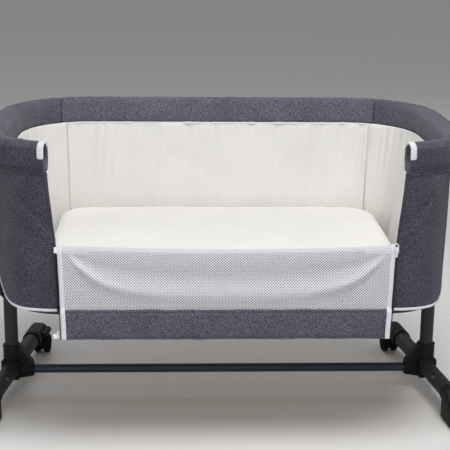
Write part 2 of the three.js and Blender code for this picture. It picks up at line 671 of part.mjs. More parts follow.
// ---------- castors ----------
// A twin-wheel swivel castor. Its wheels trail behind the stem, and the brake pedal is at the back.
function addCastor(foot, x, label, side) {
  const castor = new THREE.Group();
  castor.position.set(x, CASTOR.at, 0);
  foot.add(castor);

  const axleZ = CASTOR.wheelRadius;
  const top = REAR_CAP.hoodBottom - GAP - 0.3;
  const half = CASTOR.bodyWidth / 2;
  const web = new THREE.Shape();
  web.moveTo(-CASTOR.discRadius, top);
  web.lineTo(CASTOR.trail + 8, top);
  web.absarc(CASTOR.trail, axleZ, CASTOR.hubRadius, 0.35 * Math.PI, -0.75 * Math.PI, true);
  web.lineTo(-CASTOR.discRadius, top - 8);
  const body = alongX(web, -half, half);
  const disc = rod(CASTOR.discRadius, top - CASTOR.discHeight, top);
  const stem = rod(CASTOR.stemRadius, top - 3, REAR_CAP.lugTop - 3, 16);
  const across = (manifold, y, z) =>
    solid(geometryOf(manifold).rotateY(Math.PI / 2).translate(0, y, z));
  const axleHole = across(rod(CASTOR.axleRadius + 0.2, -30, 30, 16), CASTOR.trail, axleZ);
  const pedalPivot = { y: CASTOR.trail + 5, z: top - 6 };
  const pocket = alongX(
    polygon([
      [pedalPivot.y - 5, pedalPivot.z - 5],
      [60, pedalPivot.z - 42],
      [60, top + 1],
      [pedalPivot.y - 5, top - 2],
    ]),
    -PEDAL.armHalf - GAP, PEDAL.armHalf + GAP,
  );
  const pinAt = (radius, reach) =>
    across(rod(radius, -reach, reach, 12), pedalPivot.y, pedalPivot.z);
  const pinHole = pinAt(PEDAL.pinRadius + 0.2, half + 1);
  const housing = body.subtract(pocket).add(disc).add(stem).subtract(axleHole).subtract(pinHole);
  add("castor_body_" + label, housing, "plastic", castor);

  const axleReach = half + CASTOR.wheelWidth;
  const axle = across(rod(CASTOR.axleRadius, -axleReach, axleReach, 16), CASTOR.trail, axleZ);
  add("castor_axle_" + label, axle, "steel", castor);

  const r = CASTOR.wheelRadius;
  const w = CASTOR.wheelWidth;
  const bore = CASTOR.axleRadius + 0.2;
  const wheelProfile = [
    [bore, 0.5], [r - 1.5, 0.5], [r, 2], [r, w - 2.5], [r - 2, w - 0.5], [r - 7, w - 0.5], [bore, w - 2.5],
  ];
  for (const [which, way] of [["outer", side], ["inner", -side]]) {
    const wheel = geometryOf(turned(wheelProfile)).rotateY(way * (Math.PI / 2));
    wheel.translate(way * half, CASTOR.trail, axleZ);
    add("castor_wheel_" + label + "_" + which, solid(wheel), "plastic", castor);
  }

  const { y, z } = pedalPivot;
  const arm = polygon([
    [y - 3, z - 2.5], [y + 3, z - 4], [CASTOR.trail + 24, 20], [CASTOR.trail + 28, 20],
    [CASTOR.trail + 28, 26], [y + 8, z + 2], [y, z + 3.5], [y - 3, z + 2.5],
  ]);
  const tread = plate(roundedOutline(11, 4.5, 3), PEDAL.treadBottom, PEDAL.treadTop, 0, 2);
  const lever = alongX(arm, -PEDAL.armHalf, PEDAL.armHalf)
    .add(tread.translate([0, CASTOR.trail + PEDAL.fromAxle, 0]))
    .add(pinAt(PEDAL.pinRadius, half - GAP));
  add("brake_pedal_" + label, lever, "plastic", castor);
}

export default whole;
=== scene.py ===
import json
import math

import bmesh
import bpy
import numpy as np
from mathutils import Matrix, Vector, noise

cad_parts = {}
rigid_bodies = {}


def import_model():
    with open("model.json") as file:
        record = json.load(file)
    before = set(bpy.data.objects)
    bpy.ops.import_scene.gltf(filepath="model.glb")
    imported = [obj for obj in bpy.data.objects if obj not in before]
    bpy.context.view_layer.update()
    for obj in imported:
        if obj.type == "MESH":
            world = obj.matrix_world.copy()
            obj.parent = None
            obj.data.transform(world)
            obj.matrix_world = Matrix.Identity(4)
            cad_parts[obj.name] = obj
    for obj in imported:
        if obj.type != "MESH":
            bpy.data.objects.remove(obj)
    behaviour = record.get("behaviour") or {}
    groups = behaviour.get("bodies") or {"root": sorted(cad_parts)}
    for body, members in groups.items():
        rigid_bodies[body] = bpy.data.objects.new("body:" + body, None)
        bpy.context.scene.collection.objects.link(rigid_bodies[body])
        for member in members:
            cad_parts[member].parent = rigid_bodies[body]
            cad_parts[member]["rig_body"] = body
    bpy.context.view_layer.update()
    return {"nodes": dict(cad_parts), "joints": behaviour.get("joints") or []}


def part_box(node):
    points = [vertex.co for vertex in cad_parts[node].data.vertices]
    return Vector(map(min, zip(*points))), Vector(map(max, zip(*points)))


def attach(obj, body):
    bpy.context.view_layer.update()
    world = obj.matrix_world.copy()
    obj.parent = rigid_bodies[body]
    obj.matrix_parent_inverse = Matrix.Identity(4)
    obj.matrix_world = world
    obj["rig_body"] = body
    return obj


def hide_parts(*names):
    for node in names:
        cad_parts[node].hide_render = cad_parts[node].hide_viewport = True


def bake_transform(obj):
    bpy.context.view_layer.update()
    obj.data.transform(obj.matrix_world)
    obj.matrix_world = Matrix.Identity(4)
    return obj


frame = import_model()
NODES = frame["nodes"]
TAU = 2 * math.pi

# ---------- camera, light and floor ----------
scene = bpy.context.scene
scene.view_settings.view_transform = "Standard"
camera = bpy.data.objects.new("camera", bpy.data.cameras.new("camera"))
scene.collection.objects.link(camera)
scene.camera = camera
camera.data.sensor_width = 36.0
camera.data.lens = 93.216
camera.location = (-0.0880, -2.3368, 0.9794)
pitch, yaw, roll = math.radians(14.710), math.radians(-2.331), math.radians(0.593)
camera.rotation_mode = "QUATERNION"
tip = Matrix.Rotation(math.pi / 2 - pitch, 3, "X") @ Matrix.Rotation(roll, 3, "Z")
camera.rotation_quaternion = (Matrix.Rotation(yaw, 3, "Z") @ tip).to_quaternion()


def area_light(name, location, target, size, power, colour=(1, 1, 1)):
    data = bpy.data.lights.new(name, "AREA")
    data.shape, data.size, data.energy, data.color = "DISK", size, power, colour
    lamp = bpy.data.objects.new(name, data)
    scene.collection.objects.link(lamp)
    lamp.location = location
    lamp.rotation_mode = "QUATERNION"
    lamp.rotation_quaternion = (Vector(target) - Vector(location)).to_track_quat("-Z", "Y")


area_light("key", (0.3, -1.0, 2.7), (0, 0, 0.4), 1.7, 50, (1.0, 0.99, 0.975))
area_light("front", (-0.4, -2.9, 1.3), (0, 0, 0.4), 1.8, 19, (0.99, 0.99, 1.0))
area_light("back", (-0.6, 2.4, 2.2), (0, 0, 0.5), 1.8, 16, (0.97, 0.985, 1.0))
world = bpy.data.worlds.new("studio")
scene.world = world
world.use_nodes = True
world.node_tree.nodes["Background"].inputs["Color"].default_value = (0.93, 0.94, 0.96, 1)
world.node_tree.nodes["Background"].inputs["Strength"].default_value = 0.28


# ---------- materials ----------
class Nodes:
    """A material's node tree, built a call at a time."""

    def __init__(self, name):
        self.material = bpy.data.materials.new(name)
        self.material.use_nodes = True
        self.tree = self.material.node_tree
        self.shader = self.tree.nodes["Principled BSDF"]

    def link(self, source, target):
        self.tree.links.new(source, target)

    def new(self, kind, inputs=None, **settings):
        node = self.tree.nodes.new("ShaderNode" + kind)
        for key, value in settings.items():
            setattr(node, key, value)
        for key, value in (inputs or {}).items():
            if isinstance(value, bpy.types.NodeSocket):
                self.link(value, node.inputs[key])
            else:
                node.inputs[key].default_value = value
        return node

    def place(self, by_uv):
        return self.new("TexCoord").outputs["UV" if by_uv else "Object"]

    def scaled(self, vector, scale, turn=(0, 0, 0)):
        return self.new("Mapping", {"Vector": vector, "Scale": scale, "Rotation": turn}).outputs[0]

    def noise(self, vector, scale, detail=2.0, rough=0.5):
        made = self.new("TexNoise", {"Vector": vector, "Scale": scale, "Detail": detail, "Roughness": rough})
        return made.outputs["Fac"]

    def math(self, operation, a, b):
        return self.new("Math", {0: a, 1: b}, operation=operation).outputs[0]

    def total(self, *pairs):
        """The sum of values, each times its weight."""
        scaled = [self.math("MULTIPLY", value, weight) for value, weight in pairs]
        made = scaled[0]
        for more in scaled[1:]:
            made = self.math("ADD", made, more)
        return made

    def waves(self, vector, scale, way, distortion=0.0):
        inputs = {"Vector": vector, "Scale": scale, "Distortion": distortion}
        return self.new("TexWave", inputs, bands_direction=way).outputs["Fac"]

    def weave(self, vector, scale):
        """Warp and weft ribs crossing."""
        return self.math("MAXIMUM", self.waves(vector, scale, "X"), self.waves(vector, scale, "Y"))

    def ramp(self, value, *stops):
        node = self.new("ValToRGB", {"Fac": value})
        elements = node.color_ramp.elements
        while len(elements) < len(stops):
            elements.new(0.5)
        for element, (at, colour) in zip(elements, stops):
            element.position = at
            element.color = (*colour, 1) if isinstance(colour, tuple) else (colour, colour, colour, 1)
        return node.outputs["Color"]

    def tinted(self, colour, tone):
        return self.mix(1.0, colour, tone, "MULTIPLY")

    def mix(self, factor, a, b, blend="MIX"):
        node = self.new("Mix", data_type="RGBA", blend_type=blend)
        for index, value in ((0, factor), (6, a), (7, b)):
            if isinstance(value, bpy.types.NodeSocket):
                self.link(value, node.inputs[index])
            elif index == 0:
                node.inputs[index].default_value = value
            else:
                node.inputs[index].default_value = (*value, 1)
        return node.outputs[2]

    def bump(self, height, strength, distance):
        node = self.new("Bump", {"Height": height, "Strength": strength, "Distance": distance})
        self.link(node.outputs[0], self.shader.inputs["Normal"])

    def surface(self, **values):
        for key, value in values.items():
            socket = self.shader.inputs[key.replace("_", " ")]
            if isinstance(value, bpy.types.NodeSocket):
                self.link(value, socket)
            else:
                socket.default_value = (*value, 1) if isinstance(value, tuple) else value


def chambray(name, light, dark, by_uv=True):
    """Melange cloth: dark and light threads crossing, with slubs along both."""
    m = Nodes(name)
    at = m.place(by_uv)
    warp = m.noise(m.scaled(at, (820, 110, 400)), 1.0, 3.0, 0.6)
    weft = m.noise(m.scaled(at, (110, 820, 400), (0, 0, 0.01)), 1.0, 3.0, 0.6)
    threads = m.math("ADD", warp, weft)
    fleck = m.noise(at, 330.0, 3.0, 0.7)
    value = m.total((threads, 0.30), (fleck, 0.40))
    between = tuple((a + b) / 2 for a, b in zip(dark, light))
    colour = m.ramp(value, (0.42, dark), (0.5, between), (0.58, light))
    broad = m.ramp(m.noise(at, 16.0, 3.0), (0.3, 0.86), (0.7, 1.12))
    m.surface(Base_Color=m.tinted(colour, broad), Roughness=m.ramp(value, (0.3, 0.95), (0.7, 0.82)))
    m.surface(Specular_IOR_Level=0.25, Sheen_Weight=0.12, Sheen_Roughness=0.5)
    m.bump(m.total((m.weave(at, 420.0), 1.0), (threads, 1.2)), 0.55, 0.0005)
    return m.material


def cotton(name, colour, shade, weave=520.0, by_uv=True, crease=(30, 12, 20)):
    """Plain woven cotton with faint creases and a little unevenness in tone."""
    m = Nodes(name)
    at = m.place(by_uv)
    broad = m.noise(at, 9.0, 4.0, 0.6)
    thread = m.noise(m.scaled(at, (900, 140, 300)), 1.0, 2.0)
    cross = m.noise(m.scaled(at, (140, 900, 300)), 1.0, 2.0)
    tone = m.total((broad, 0.6), (thread, 0.2), (cross, 0.2))
    m.surface(Base_Color=m.ramp(tone, (0.35, shade), (0.62, colour)))
    m.surface(Roughness=m.ramp(broad, (0.3, 0.82), (0.7, 0.95)), Specular_IOR_Level=0.2)
    m.surface(Sheen_Weight=0.08, Sheen_Roughness=0.5)
    creases = m.noise(m.scaled(at, crease), 1.0, 5.0, 0.65)
    m.bump(m.total((m.weave(at, weave), 0.25), (creases, 1.6)), 0.3, 0.0016)
    return m.material


def tape(name, colour, shade, pitch=360.0, by_uv=True):
    """Woven narrow tape with a twill rib across it."""
    m = Nodes(name)
    at = m.place(by_uv)
    rib = m.waves(at, pitch, "DIAGONAL", 0.6)
    soil = m.noise(at, 60.0, 4.0)
    value = m.total((rib, 0.45), (soil, 0.55))
    m.surface(Base_Color=m.ramp(value, (0.25, shade), (0.6, colour)))
    m.surface(Roughness=m.ramp(soil, (0.3, 0.75), (0.7, 0.9)))
    m.surface(Specular_IOR_Level=0.25, Sheen_Weight=0.05)
    m.bump(rib, 0.5, 0.0004)
    return m.material


def moulded(name, colour, grain, rough, edge_paling=1.25, shine=0.45):
    """Moulded plastic with a fine sparked grain, and slightly paler on its edges."""
    m = Nodes(name)
    at = m.place(False)
    fine = m.noise(at, grain, 3.0, 0.6)
    broad = m.noise(at, 22.0, 4.0)
    # edges found by pointiness are mixed towards a paler colour
    edge = m.ramp(m.new("NewGeometry").outputs["Pointiness"], (0.49, 0.0), (0.56, 1.0))
    edge_colour = tuple(min(1.0, c * edge_paling + 0.012) for c in colour)
    base = m.mix(m.math("MULTIPLY", edge, 0.6), colour, edge_colour)
    m.surface(Base_Color=m.tinted(base, m.ramp(broad, (0.3, 0.88), (0.7, 1.1))))
    m.surface(Roughness=m.ramp(broad, (0.3, rough - 0.07), (0.7, rough + 0.08)), Specular_IOR_Level=shine)
    m.bump(fine, 0.28, 0.0003)
    return m.material


def toned(colour, amount):
    return tuple(c * amount for c in colour)


def painted(name, colour, rough):
    """Powder coat: a metal paint with a fine orange peel."""
    m = Nodes(name)
    at = m.place(False)
    peel = m.noise(at, 900.0, 2.0)
    fleck = m.noise(at, 3500.0, 1.0)
    broad = m.noise(at, 14.0, 4.0)
    base = m.ramp(fleck, (0.35, toned(colour, 0.82)), (0.68, toned(colour, 1.3)))
    m.surface(Base_Color=m.tinted(base, m.ramp(broad, (0.3, 0.9), (0.7, 1.1))))
    m.surface(Roughness=m.ramp(broad, (0.3, rough - 0.06), (0.7, rough + 0.1)), Metallic=0.2)
    m.surface(Coat_Weight=0.08, Coat_Roughness=0.35, Specular_IOR_Level=0.3)
    m.bump(peel, 0.14, 0.0003)
    return m.material


def brushed(name, colour, rough=0.3):
    """Bare metal, brushed one way."""
    m = Nodes(name)
    at = m.place(False)
    lines = m.noise(m.scaled(at, (300, 2200, 2200)), 1.0, 3.0)
    smear = m.noise(at, 70.0, 4.0)
    m.surface(Base_Color=m.ramp(smear, (0.3, toned(colour, 0.82)), (0.7, colour)), Metallic=1.0)
    m.surface(Roughness=m.ramp(lines, (0.3, rough - 0.08), (0.7, rough + 0.14)))
    m.bump(lines, 0.08, 0.0002)
    return m.material


def fibreboard(name):
    """Pressed board, with fibres and specks."""
    m = Nodes(name)
    at = m.place(False)
    fibre = m.noise(m.scaled(at, (60, 700, 700)), 1.0, 5.0, 0.7)
    speck = m.noise(at, 1200.0, 2.0)
    value = m.total((fibre, 0.6), (speck, 0.4))
    dark, middle, light = (0.3, 0.2, 0.12), (0.46, 0.34, 0.22), (0.58, 0.46, 0.32)
    m.surface(Base_Color=m.ramp(value, (0.3, dark), (0.5, middle), (0.7, light)))
    m.surface(Roughness=m.ramp(speck, (0.3, 0.7), (0.7, 0.9)))
    m.bump(value, 0.25, 0.0005)
    return m.material


LOOK = {
    "chambray": chambray("chambray", (0.218, 0.216, 0.278), (0.036, 0.0365, 0.060)),
    # painted shade: darker copies of the chambray. The deepest is for the outer walls and the rail ends'
    # outer face, the middle one for the rail ends' shoulder, and the faintest for their crest, their inner
    # side and the drop band
    "chambray_wall": chambray("chambray_wall", (0.106, 0.106, 0.149), (0.0125, 0.013, 0.0240)),
    "chambray_painted_shade_mid": chambray("chambray_painted_shade_mid", (0.139, 0.139, 0.186), (0.0205, 0.021, 0.036)),
    "chambray_side": chambray("chambray_side", (0.176, 0.174, 0.228), (0.0275, 0.0278, 0.046)),
    "chambray_binding": chambray("chambray_binding", (0.07, 0.07, 0.095), (0.02, 0.021, 0.033)),
    "lining": cotton("lining", (0.825, 0.812, 0.787), (0.765, 0.752, 0.728), crease=(75, 5, 20)),
    "mattress": cotton("mattress", (0.875, 0.86, 0.83), (0.835, 0.82, 0.785),
                       by_uv=False, crease=(14, 9, 12)),
    # painted shade: a dark colour for the front wall's face behind the mesh, so that the mesh's holes show
    # shade
    "facing": cotton("facing", (0.098, 0.102, 0.132), (0.075, 0.079, 0.102)),
    "mesh": tape("mesh", (0.935, 0.942, 1.0), (0.85, 0.86, 0.925), 900.0),
    "tape": tape("tape", (0.80, 0.81, 0.85), (0.64, 0.65, 0.70)),
    "piping": tape("piping", (0.80, 0.82, 0.87), (0.60, 0.62, 0.67), 520.0),
    "thread": tape("thread", (0.022, 0.023, 0.034), (0.012, 0.012, 0.018), 2400.0, False),
    "thread_pale": tape("thread_pale", (0.8, 0.78, 0.74), (0.6, 0.58, 0.55), 2400.0, False),
    "coil": moulded("coil", (0.78, 0.79, 0.82), 2600.0, 0.4),
    "paint": painted("paint", (0.029, 0.0285, 0.035), 0.6),
    # painted reflection: the frame's paint tinted blue for the surroundings the crossbar reflects
    "bar_paint": painted("bar_paint", (0.029, 0.038, 0.062), 0.5),
    "sleeve": painted("sleeve", (0.026, 0.025, 0.028), 0.55),
    "plastic": moulded("plastic", (0.0056, 0.0062, 0.0070), 2200.0, 0.55, shine=0.14),
    "wheel": moulded("wheel", (0.0042, 0.0043, 0.0046), 1500.0, 0.65, shine=0.11),
    "rubber": moulded("rubber", (0.010, 0.010, 0.0105), 1400.0, 0.85, 1.1, 0.2),
    "steel": brushed("steel", (0.52, 0.53, 0.55)),
    "dull_steel": brushed("dull_steel", (0.20, 0.20, 0.215), 0.5),
    "black_steel": brushed("black_steel", (0.030, 0.030, 0.033), 0.5),
    "board": fibreboard("board"),
    "stage": cotton("stage", (0.86, 0.855, 0.85), (0.84, 0.835, 0.83), 40.0, False),
}


# ---------- building meshes ----------
def build(name, verts, faces, look, body=None, slot=None, uvs=None, replaces=(), smooth=True, angle=None):
    """An object from vertices and faces. uvs are a pair for each vertex, in metres of cloth."""
    mesh = bpy.data.meshes.new(name)
    mesh.from_pydata([tuple(v) for v in verts], [], faces)
    mesh.update()
    made = bpy.data.objects.new(name, mesh)
    scene.collection.objects.link(made)
    for each in [look] if isinstance(look, str) else look:
        mesh.materials.append(LOOK[each])
    if uvs is not None:
        layer = mesh.uv_layers.new(name="cloth")
        loops = np.empty(len(mesh.loops), np.int32)
        mesh.loops.foreach_get("vertex_index", loops)
        layer.data.foreach_set("uv", np.asarray(uvs, np.float32)[loops].ravel())
    if smooth:
        mesh.polygons.foreach_set("use_smooth", [True] * len(mesh.polygons))
        if angle:
            mesh.set_sharp_from_angle(angle=math.radians(angle))
    if body:
        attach(made, body)
    if replaces:
        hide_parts(*replaces)
    return made


def grid_faces(rows, cols, wrap_rows=False, wrap_cols=False, base=0):
    faces = []
    for i in range(rows if wrap_rows else rows - 1):
        for j in range(cols if wrap_cols else cols - 1):
            here, there, n = base + i * cols, base + (i + 1) % rows * cols, (j + 1) % cols
            faces.append((here + j, here + n, there + n, there + j))
    return faces


def normals_of(p, wrap_cols=False):
    """Unit normals of a grid of points, shape rows x cols x 3."""
    du = np.gradient(p, axis=0)
    if wrap_cols:
        dv = (np.roll(p, -1, axis=1) - np.roll(p, 1, axis=1)) / 2
    else:
        dv = np.gradient(p, axis=1)
    n = np.cross(du, dv)
    return n / np.maximum(np.linalg.norm(n, axis=2, keepdims=True), 1e-12)


def noise_at(points, scale, seed, octaves=2):
    """Perlin noise from -1 to 1 at each point, with a scale for each axis."""
    flat = points.reshape(-1, points.shape[-1])
    sx, sy, sz = scale
    out = np.empty(len(flat))
    for i, (x, y, z) in enumerate(flat):
        v = Vector((x * sx + seed, y * sy - seed, z * sz + 2 * seed))
        total, size = 0.0, 1.0
        for _ in range(octaves):
            total += size * noise.noise(v)
            v, size = v * 2.1, size * 0.5
        out[i] = total
    return out.reshape(points.shape[:-1])


def uv_of(u, v):
    return np.stack(np.meshgrid(u, v, indexing="ij"), -1).reshape(-1, 2)


def run_of(points):
    """Each point's distance along the line of points."""
    return np.concatenate([[0], np.cumsum(np.linalg.norm(np.diff(points, axis=0), axis=1))])


def on_line(at, run, points):
    """Points of a line at the distances at."""
    return np.stack([np.interp(at, run, points[:, k]) for k in range(3)], -1)


def falloff(distance, width):
    """1 at no distance, dying away to nothing over about twice the width."""
    return np.exp(-((distance / width) ** 2))


def outer_normals(rings):
    """Unit normals of a closed body's rings, pointing out of it."""
    n = normals_of(rings, wrap_cols=True)
    return -n if ((rings - rings.mean(1, keepdims=True)) * n).sum() < 0 else n


def closed_sheet(name, front, thickness, look, u, v, **kw):
    """A thin closed sheet from a grid of points on its front. Its back lies behind them."""
    rows, cols, _ = front.shape
    n = normals_of(front)
    back = front - n * thickness
    verts = np.concatenate([front.reshape(-1, 3), back.reshape(-1, 3)])
    size = rows * cols
    faces = grid_faces(rows, cols) + [f[::-1] for f in grid_faces(rows, cols, base=size)]
    rim = [(i, 0) for i in range(rows - 1)] + [(rows - 1, j) for j in range(cols - 1)]
    rim += [(i, cols - 1) for i in range(rows - 1, 0, -1)] + [(0, j) for j in range(cols - 1, 0, -1)]
    loop = [i * cols + j for i, j in rim]
    for a, b in zip(loop, loop[1:] + loop[:1]):
        faces.append((b, a, a + size, b + size))
    return outward(build(name, verts, faces, look, uvs=np.tile(uv_of(u, v), (2, 1)), **kw))


def swept(name, rings, look, u, v, **kw):
    """A closed body through rings of points, shape rings x corners x 3."""
    rows, cols, _ = rings.shape
    verts = list(rings.reshape(-1, 3))
    faces = grid_faces(rows, cols, wrap_cols=True)
    uvs = list(uv_of(u, v))
    for row in (0, rows - 1):
        hub = len(verts)
        verts.append(rings[row].mean(0))
        uvs.append(np.array([u[row], np.mean(v)]))
        for j in range(cols):
            a, b = row * cols + j, row * cols + (j + 1) % cols
            faces.append((hub, b, a) if row == 0 else (hub, a, b))
    return build(name, verts, faces, look, uvs=uvs, **kw)


def rings_about(points, radius, sides, flat, across, upward):
    """Rings round each point of a line, for a round or flattened bar."""
    angles = np.linspace(0, TAU, sides, endpoint=False)[None, :, None]
    spokes = np.cos(angles) * across[:, None] + flat * np.sin(angles) * upward[:, None]
    return points[:, None] + radius * spokes


def tube_along(name, points, radius, look, sides=16, flat=1.0, up=(0, 0, 1), **kw):
    """A round or flattened bar along a line of points."""
    points = np.asarray(points, float)
    tangents = np.gradient(points, axis=0)
    tangents /= np.linalg.norm(tangents, axis=1, keepdims=True)
    across = np.cross(tangents, np.array(up, float))
    across /= np.maximum(np.linalg.norm(across, axis=1, keepdims=True), 1e-9)
    rings = rings_about(points, radius, sides, flat, across, np.cross(across, tangents))
    around = np.linspace(0, TAU, sides, endpoint=False) * radius
    return swept(name, rings, look, run_of(points), around, **kw)


def outward(made):
    """Turns a closed mesh's faces outwards."""
    work = bmesh.new()
    work.from_mesh(made.data)
    bmesh.ops.recalc_face_normals(work, faces=work.faces)
    work.to_mesh(made.data)
    work.free()
    return made


def turned(name, profile, origin, axis, look, sides=64, **kw):
    """A lathe body about an axis. Its (radius, distance along) pairs close on themselves or on the axis."""
    axis = Vector(axis).normalized()
    frame_at = axis.to_track_quat("Z", "Y").to_matrix()
    verts, faces, uvs = [], [], []
    ends = []
    along = 0.0
    for k, (r, h) in enumerate(profile):
        if k:
            along += math.dist(profile[k], profile[k - 1])
        if r < 1e-7:
            ends.append((len(verts), 1))
            verts.append(Vector(origin) + frame_at @ Vector((0, 0, h)))
            uvs.append((0, along))
        else:
            ends.append((len(verts), sides))
            for i in range(sides):
                a = TAU * i / sides
                verts.append(Vector(origin) + frame_at @ Vector((r * math.cos(a), r * math.sin(a), h)))
                uvs.append((a * r, along))
    pairs = list(zip(ends, ends[1:]))
    if profile[0][0] > 1e-7 and profile[-1][0] > 1e-7:
        pairs.append((ends[-1], ends[0]))
    for (a, na), (b, nb) in pairs:
        for i in range(sides):
            j = (i + 1) % sides
            if na == 1:
                faces.append((a, b + j, b + i))
            elif nb == 1:
                faces.append((a + i, a + j, b))
            else:
                faces.append((a + i, a + j, b + j, b + i))
    return outward(build(name, verts, faces, look, uvs=uvs, angle=32, **kw))


def rounded(made, width, segments, angle=None):
    """Rounds an object's edges: all of them, or those sharper than the angle."""
    edge = made.modifiers.new("edges", "BEVEL")
    edge.width, edge.segments, edge.harden_normals = width, segments, True
    edge.limit_method = "ANGLE" if angle else "NONE"
    if angle:
        edge.angle_limit, edge.use_clamp_overlap = math.radians(angle), True


def refined(node, look, slot, bevel, segments=2, angle=34):
    """A copy of a CAD solid with its edges rounded and its round faces smooth, shown in its place."""
    work = bmesh.new()
    work.from_mesh(NODES[node].data)
    bmesh.ops.remove_doubles(work, verts=work.verts, dist=2e-6)
    bmesh.ops.dissolve_limit(work, angle_limit=math.radians(1.5), verts=work.verts, edges=work.edges)
    mesh = bpy.data.meshes.new(node + "_shape")
    work.to_mesh(mesh)
    work.free()
    mesh.materials.clear()
    mesh.materials.append(LOOK[look])
    made = bpy.data.objects.new(node + "_body", mesh)
    scene.collection.objects.link(made)
    mesh.polygons.foreach_set("use_smooth", [True] * len(mesh.polygons))
    rounded(made, bevel, segments, angle)
    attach(made, NODES[node]["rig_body"])
    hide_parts(node)


BOX_FACES = ((0, 1, 3, 2), (4, 6, 7, 5), (0, 4, 5, 1), (2, 3, 7, 6), (0, 2, 6, 4), (1, 5, 7, 3))


def superellipse(angle, a, b, power):
    c, s = np.cos(angle), np.sin(angle)
    return a * np.sign(c) * abs(c) ** (2 / power), b * np.sign(s) * abs(s) ** (2 / power)


floor = build("floor", [(-30, -30, 0), (30, -30, 0), (30, 30, 0), (-30, 30, 0)], [(0, 1, 2, 3)], "stage")

# ---------- the basket's plan ----------
SIDES = ((-1, "left"), (1, "right"))
HALF_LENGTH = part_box("rail_cover_right")[1].x
POST_LOW, POST_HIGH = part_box("post_right")
CENTRE_Y = (POST_LOW.y + POST_HIGH.y) / 2
HALF_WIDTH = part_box("rail_cover_back")[1].y - CENTRE_Y
CORNER = 0.190
QUARTER = math.pi / 2 * CORNER
AROUND = 2 * (HALF_LENGTH - CORNER) + 2 * QUARTER + 2 * (HALF_WIDTH - CORNER)
OPENING = 0.334  # along the outline, from the front's middle to the open end of the rail
RAIL_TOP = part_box("rail_cover_back")[1].z
RAIL_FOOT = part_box("rail_cover_back")[0].z
COVER_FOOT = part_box("outer_cover_back")[0].z
FOLD = Vector((0, -0.2865, 0.400))


def plan(s, side=1):
    """Points and outward directions on the basket's outline, at distances from the front's middle."""
    s = np.atleast_1d(np.asarray(s, float))
    a, b = HALF_LENGTH - CORNER, HALF_WIDTH - CORNER
    first, second = a + QUARTER, a + QUARTER + 2 * b
    t = np.where(s < a, 0, np.where(s < first, (s - a) / CORNER, np.pi / 2))
    t = np.where(s > second, np.minimum(np.pi / 2 + (s - second) / CORNER, np.pi), t)
    nx, ny = np.sin(t), -np.cos(t)
    x = np.where(s < a, s, a + CORNER * nx)
    x = np.where(s > second + QUARTER, a - (s - second - QUARTER), x)
    middle = np.where(s < first, -b, np.where(s < second, -b + (s - first), b))
    y = middle + CORNER * ny
    return np.stack([side * x, y + CENTRE_Y], -1), np.stack([side * nx, ny], -1)


def inset_at(n, end, long, corner):
    nx, ny = n[:, 0], n[:, 1]
    return end * nx**4 + long * ny**4 + 2 * corner * nx**2 * ny**2


def plan_points(s, inset, z, side=1):
    """Points at distances s, each row's insets and heights in the arrays inset and z (rows x cols)."""
    p, n = plan(s, side)
    xy = p[:, None, :] - n[:, None, :] * inset[..., None]
    return np.concatenate([xy, z[..., None]], -1)


def s_of_x(x):
    """Distance along the outline to where the front corner reaches that X."""
    return (HALF_LENGTH - CORNER) + CORNER * math.asin((x - (HALF_LENGTH - CORNER)) / CORNER)


def steps(start, end, size):
    return np.linspace(start, end, max(2, int(round(abs(end - start) / size)) + 1))


SEAM = AROUND - s_of_x(0.362)  # the vertical seam near each back corner


STITCH_LIFT = 0.0003  # stitches lie this far above their cloth


def stitches(name, points, lift, look="thread", body="basket", pitch=0.0036, length=0.0023, radius=0.0004):
    """A row of stitches along a line of points, each a small flattened capsule raised along lift."""
    points = np.asarray(points, float)
    lift = np.broadcast_to(np.asarray(lift, float), points.shape)
    run = run_of(points)
    verts, faces = [], []
    for start in np.arange(pitch / 2, run[-1] - length, pitch):
        a, b = on_line(start, run, points), on_line(start + length, run, points)
        up = on_line(start, run, lift)
        up /= np.linalg.norm(up)
        along = (b - a) / max(np.linalg.norm(b - a), 1e-9)
        across = np.cross(along, up)
        base = len(verts)
        verts.append(a)
        for t in (0.25, 0.75):
            middle = a + (b - a) * t
            for k in range(6):
                angle = TAU * k / 6
                spoke = math.cos(angle) * across + 0.8 * math.sin(angle) * up
                verts.append(middle + radius * 0.9 * spoke)
        verts.append(b)
        for k in range(6):
            n = (k + 1) % 6
            faces.append((base, base + 1 + n, base + 1 + k))
            faces.append((base + 1 + k, base + 1 + n, base + 7 + n, base + 7 + k))
            faces.append((base + 13, base + 7 + k, base + 7 + n))
    slot = "chambray" if look == "thread" else "lining"
    return outward(build(name, verts, faces, look, body=body, slot=slot))


# ---------- the padded rail ----------
def rail_section(thickness):
    """The padded band's outline: up the outside from its loose hem, over the crest and down the inside."""
    t, low = thickness, RAIL_FOOT
    crest = min(t / 2 + 0.001, 0.0155)
    shoulder = RAIL_TOP - crest
    points = [(0.0012, low - 0.0055), (-0.0008, low - 0.0020), (0.0016, low + 0.0012)]
    points += [(-0.0002, low + 0.0036), (0.0018, low + 0.0060), (-0.0002, low + 0.0090)]
    for k in (0.25, 0.5, 0.75):
        z = low + 0.0085 + (shoulder - low - 0.0085) * k
        points.append((-0.0009 * math.sin(math.pi * k), z))
    for k in range(15):
        angle = math.pi * k / 14
        points.append((t / 2 - t / 2 * math.cos(angle), shoulder + crest * math.sin(angle)))
    for k in (0.2, 0.4, 0.6, 0.8):
        z = shoulder + (low + 0.006 - shoulder) * k
        points.append((t + 0.0009 * math.sin(math.pi * k), z))
    points += [(t - 0.0004, low + 0.0055), (t - 0.0018, low + 0.0025), (t - 0.0045, low + 0.0008)]
    points += [(t * 0.6, low + 0.0003), (t * 0.35, low + 0.0003), (0.0058, low - 0.0002)]
    points += [(0.0034, low - 0.0016), (0.0022, low - 0.0055)]
    return np.array(points)


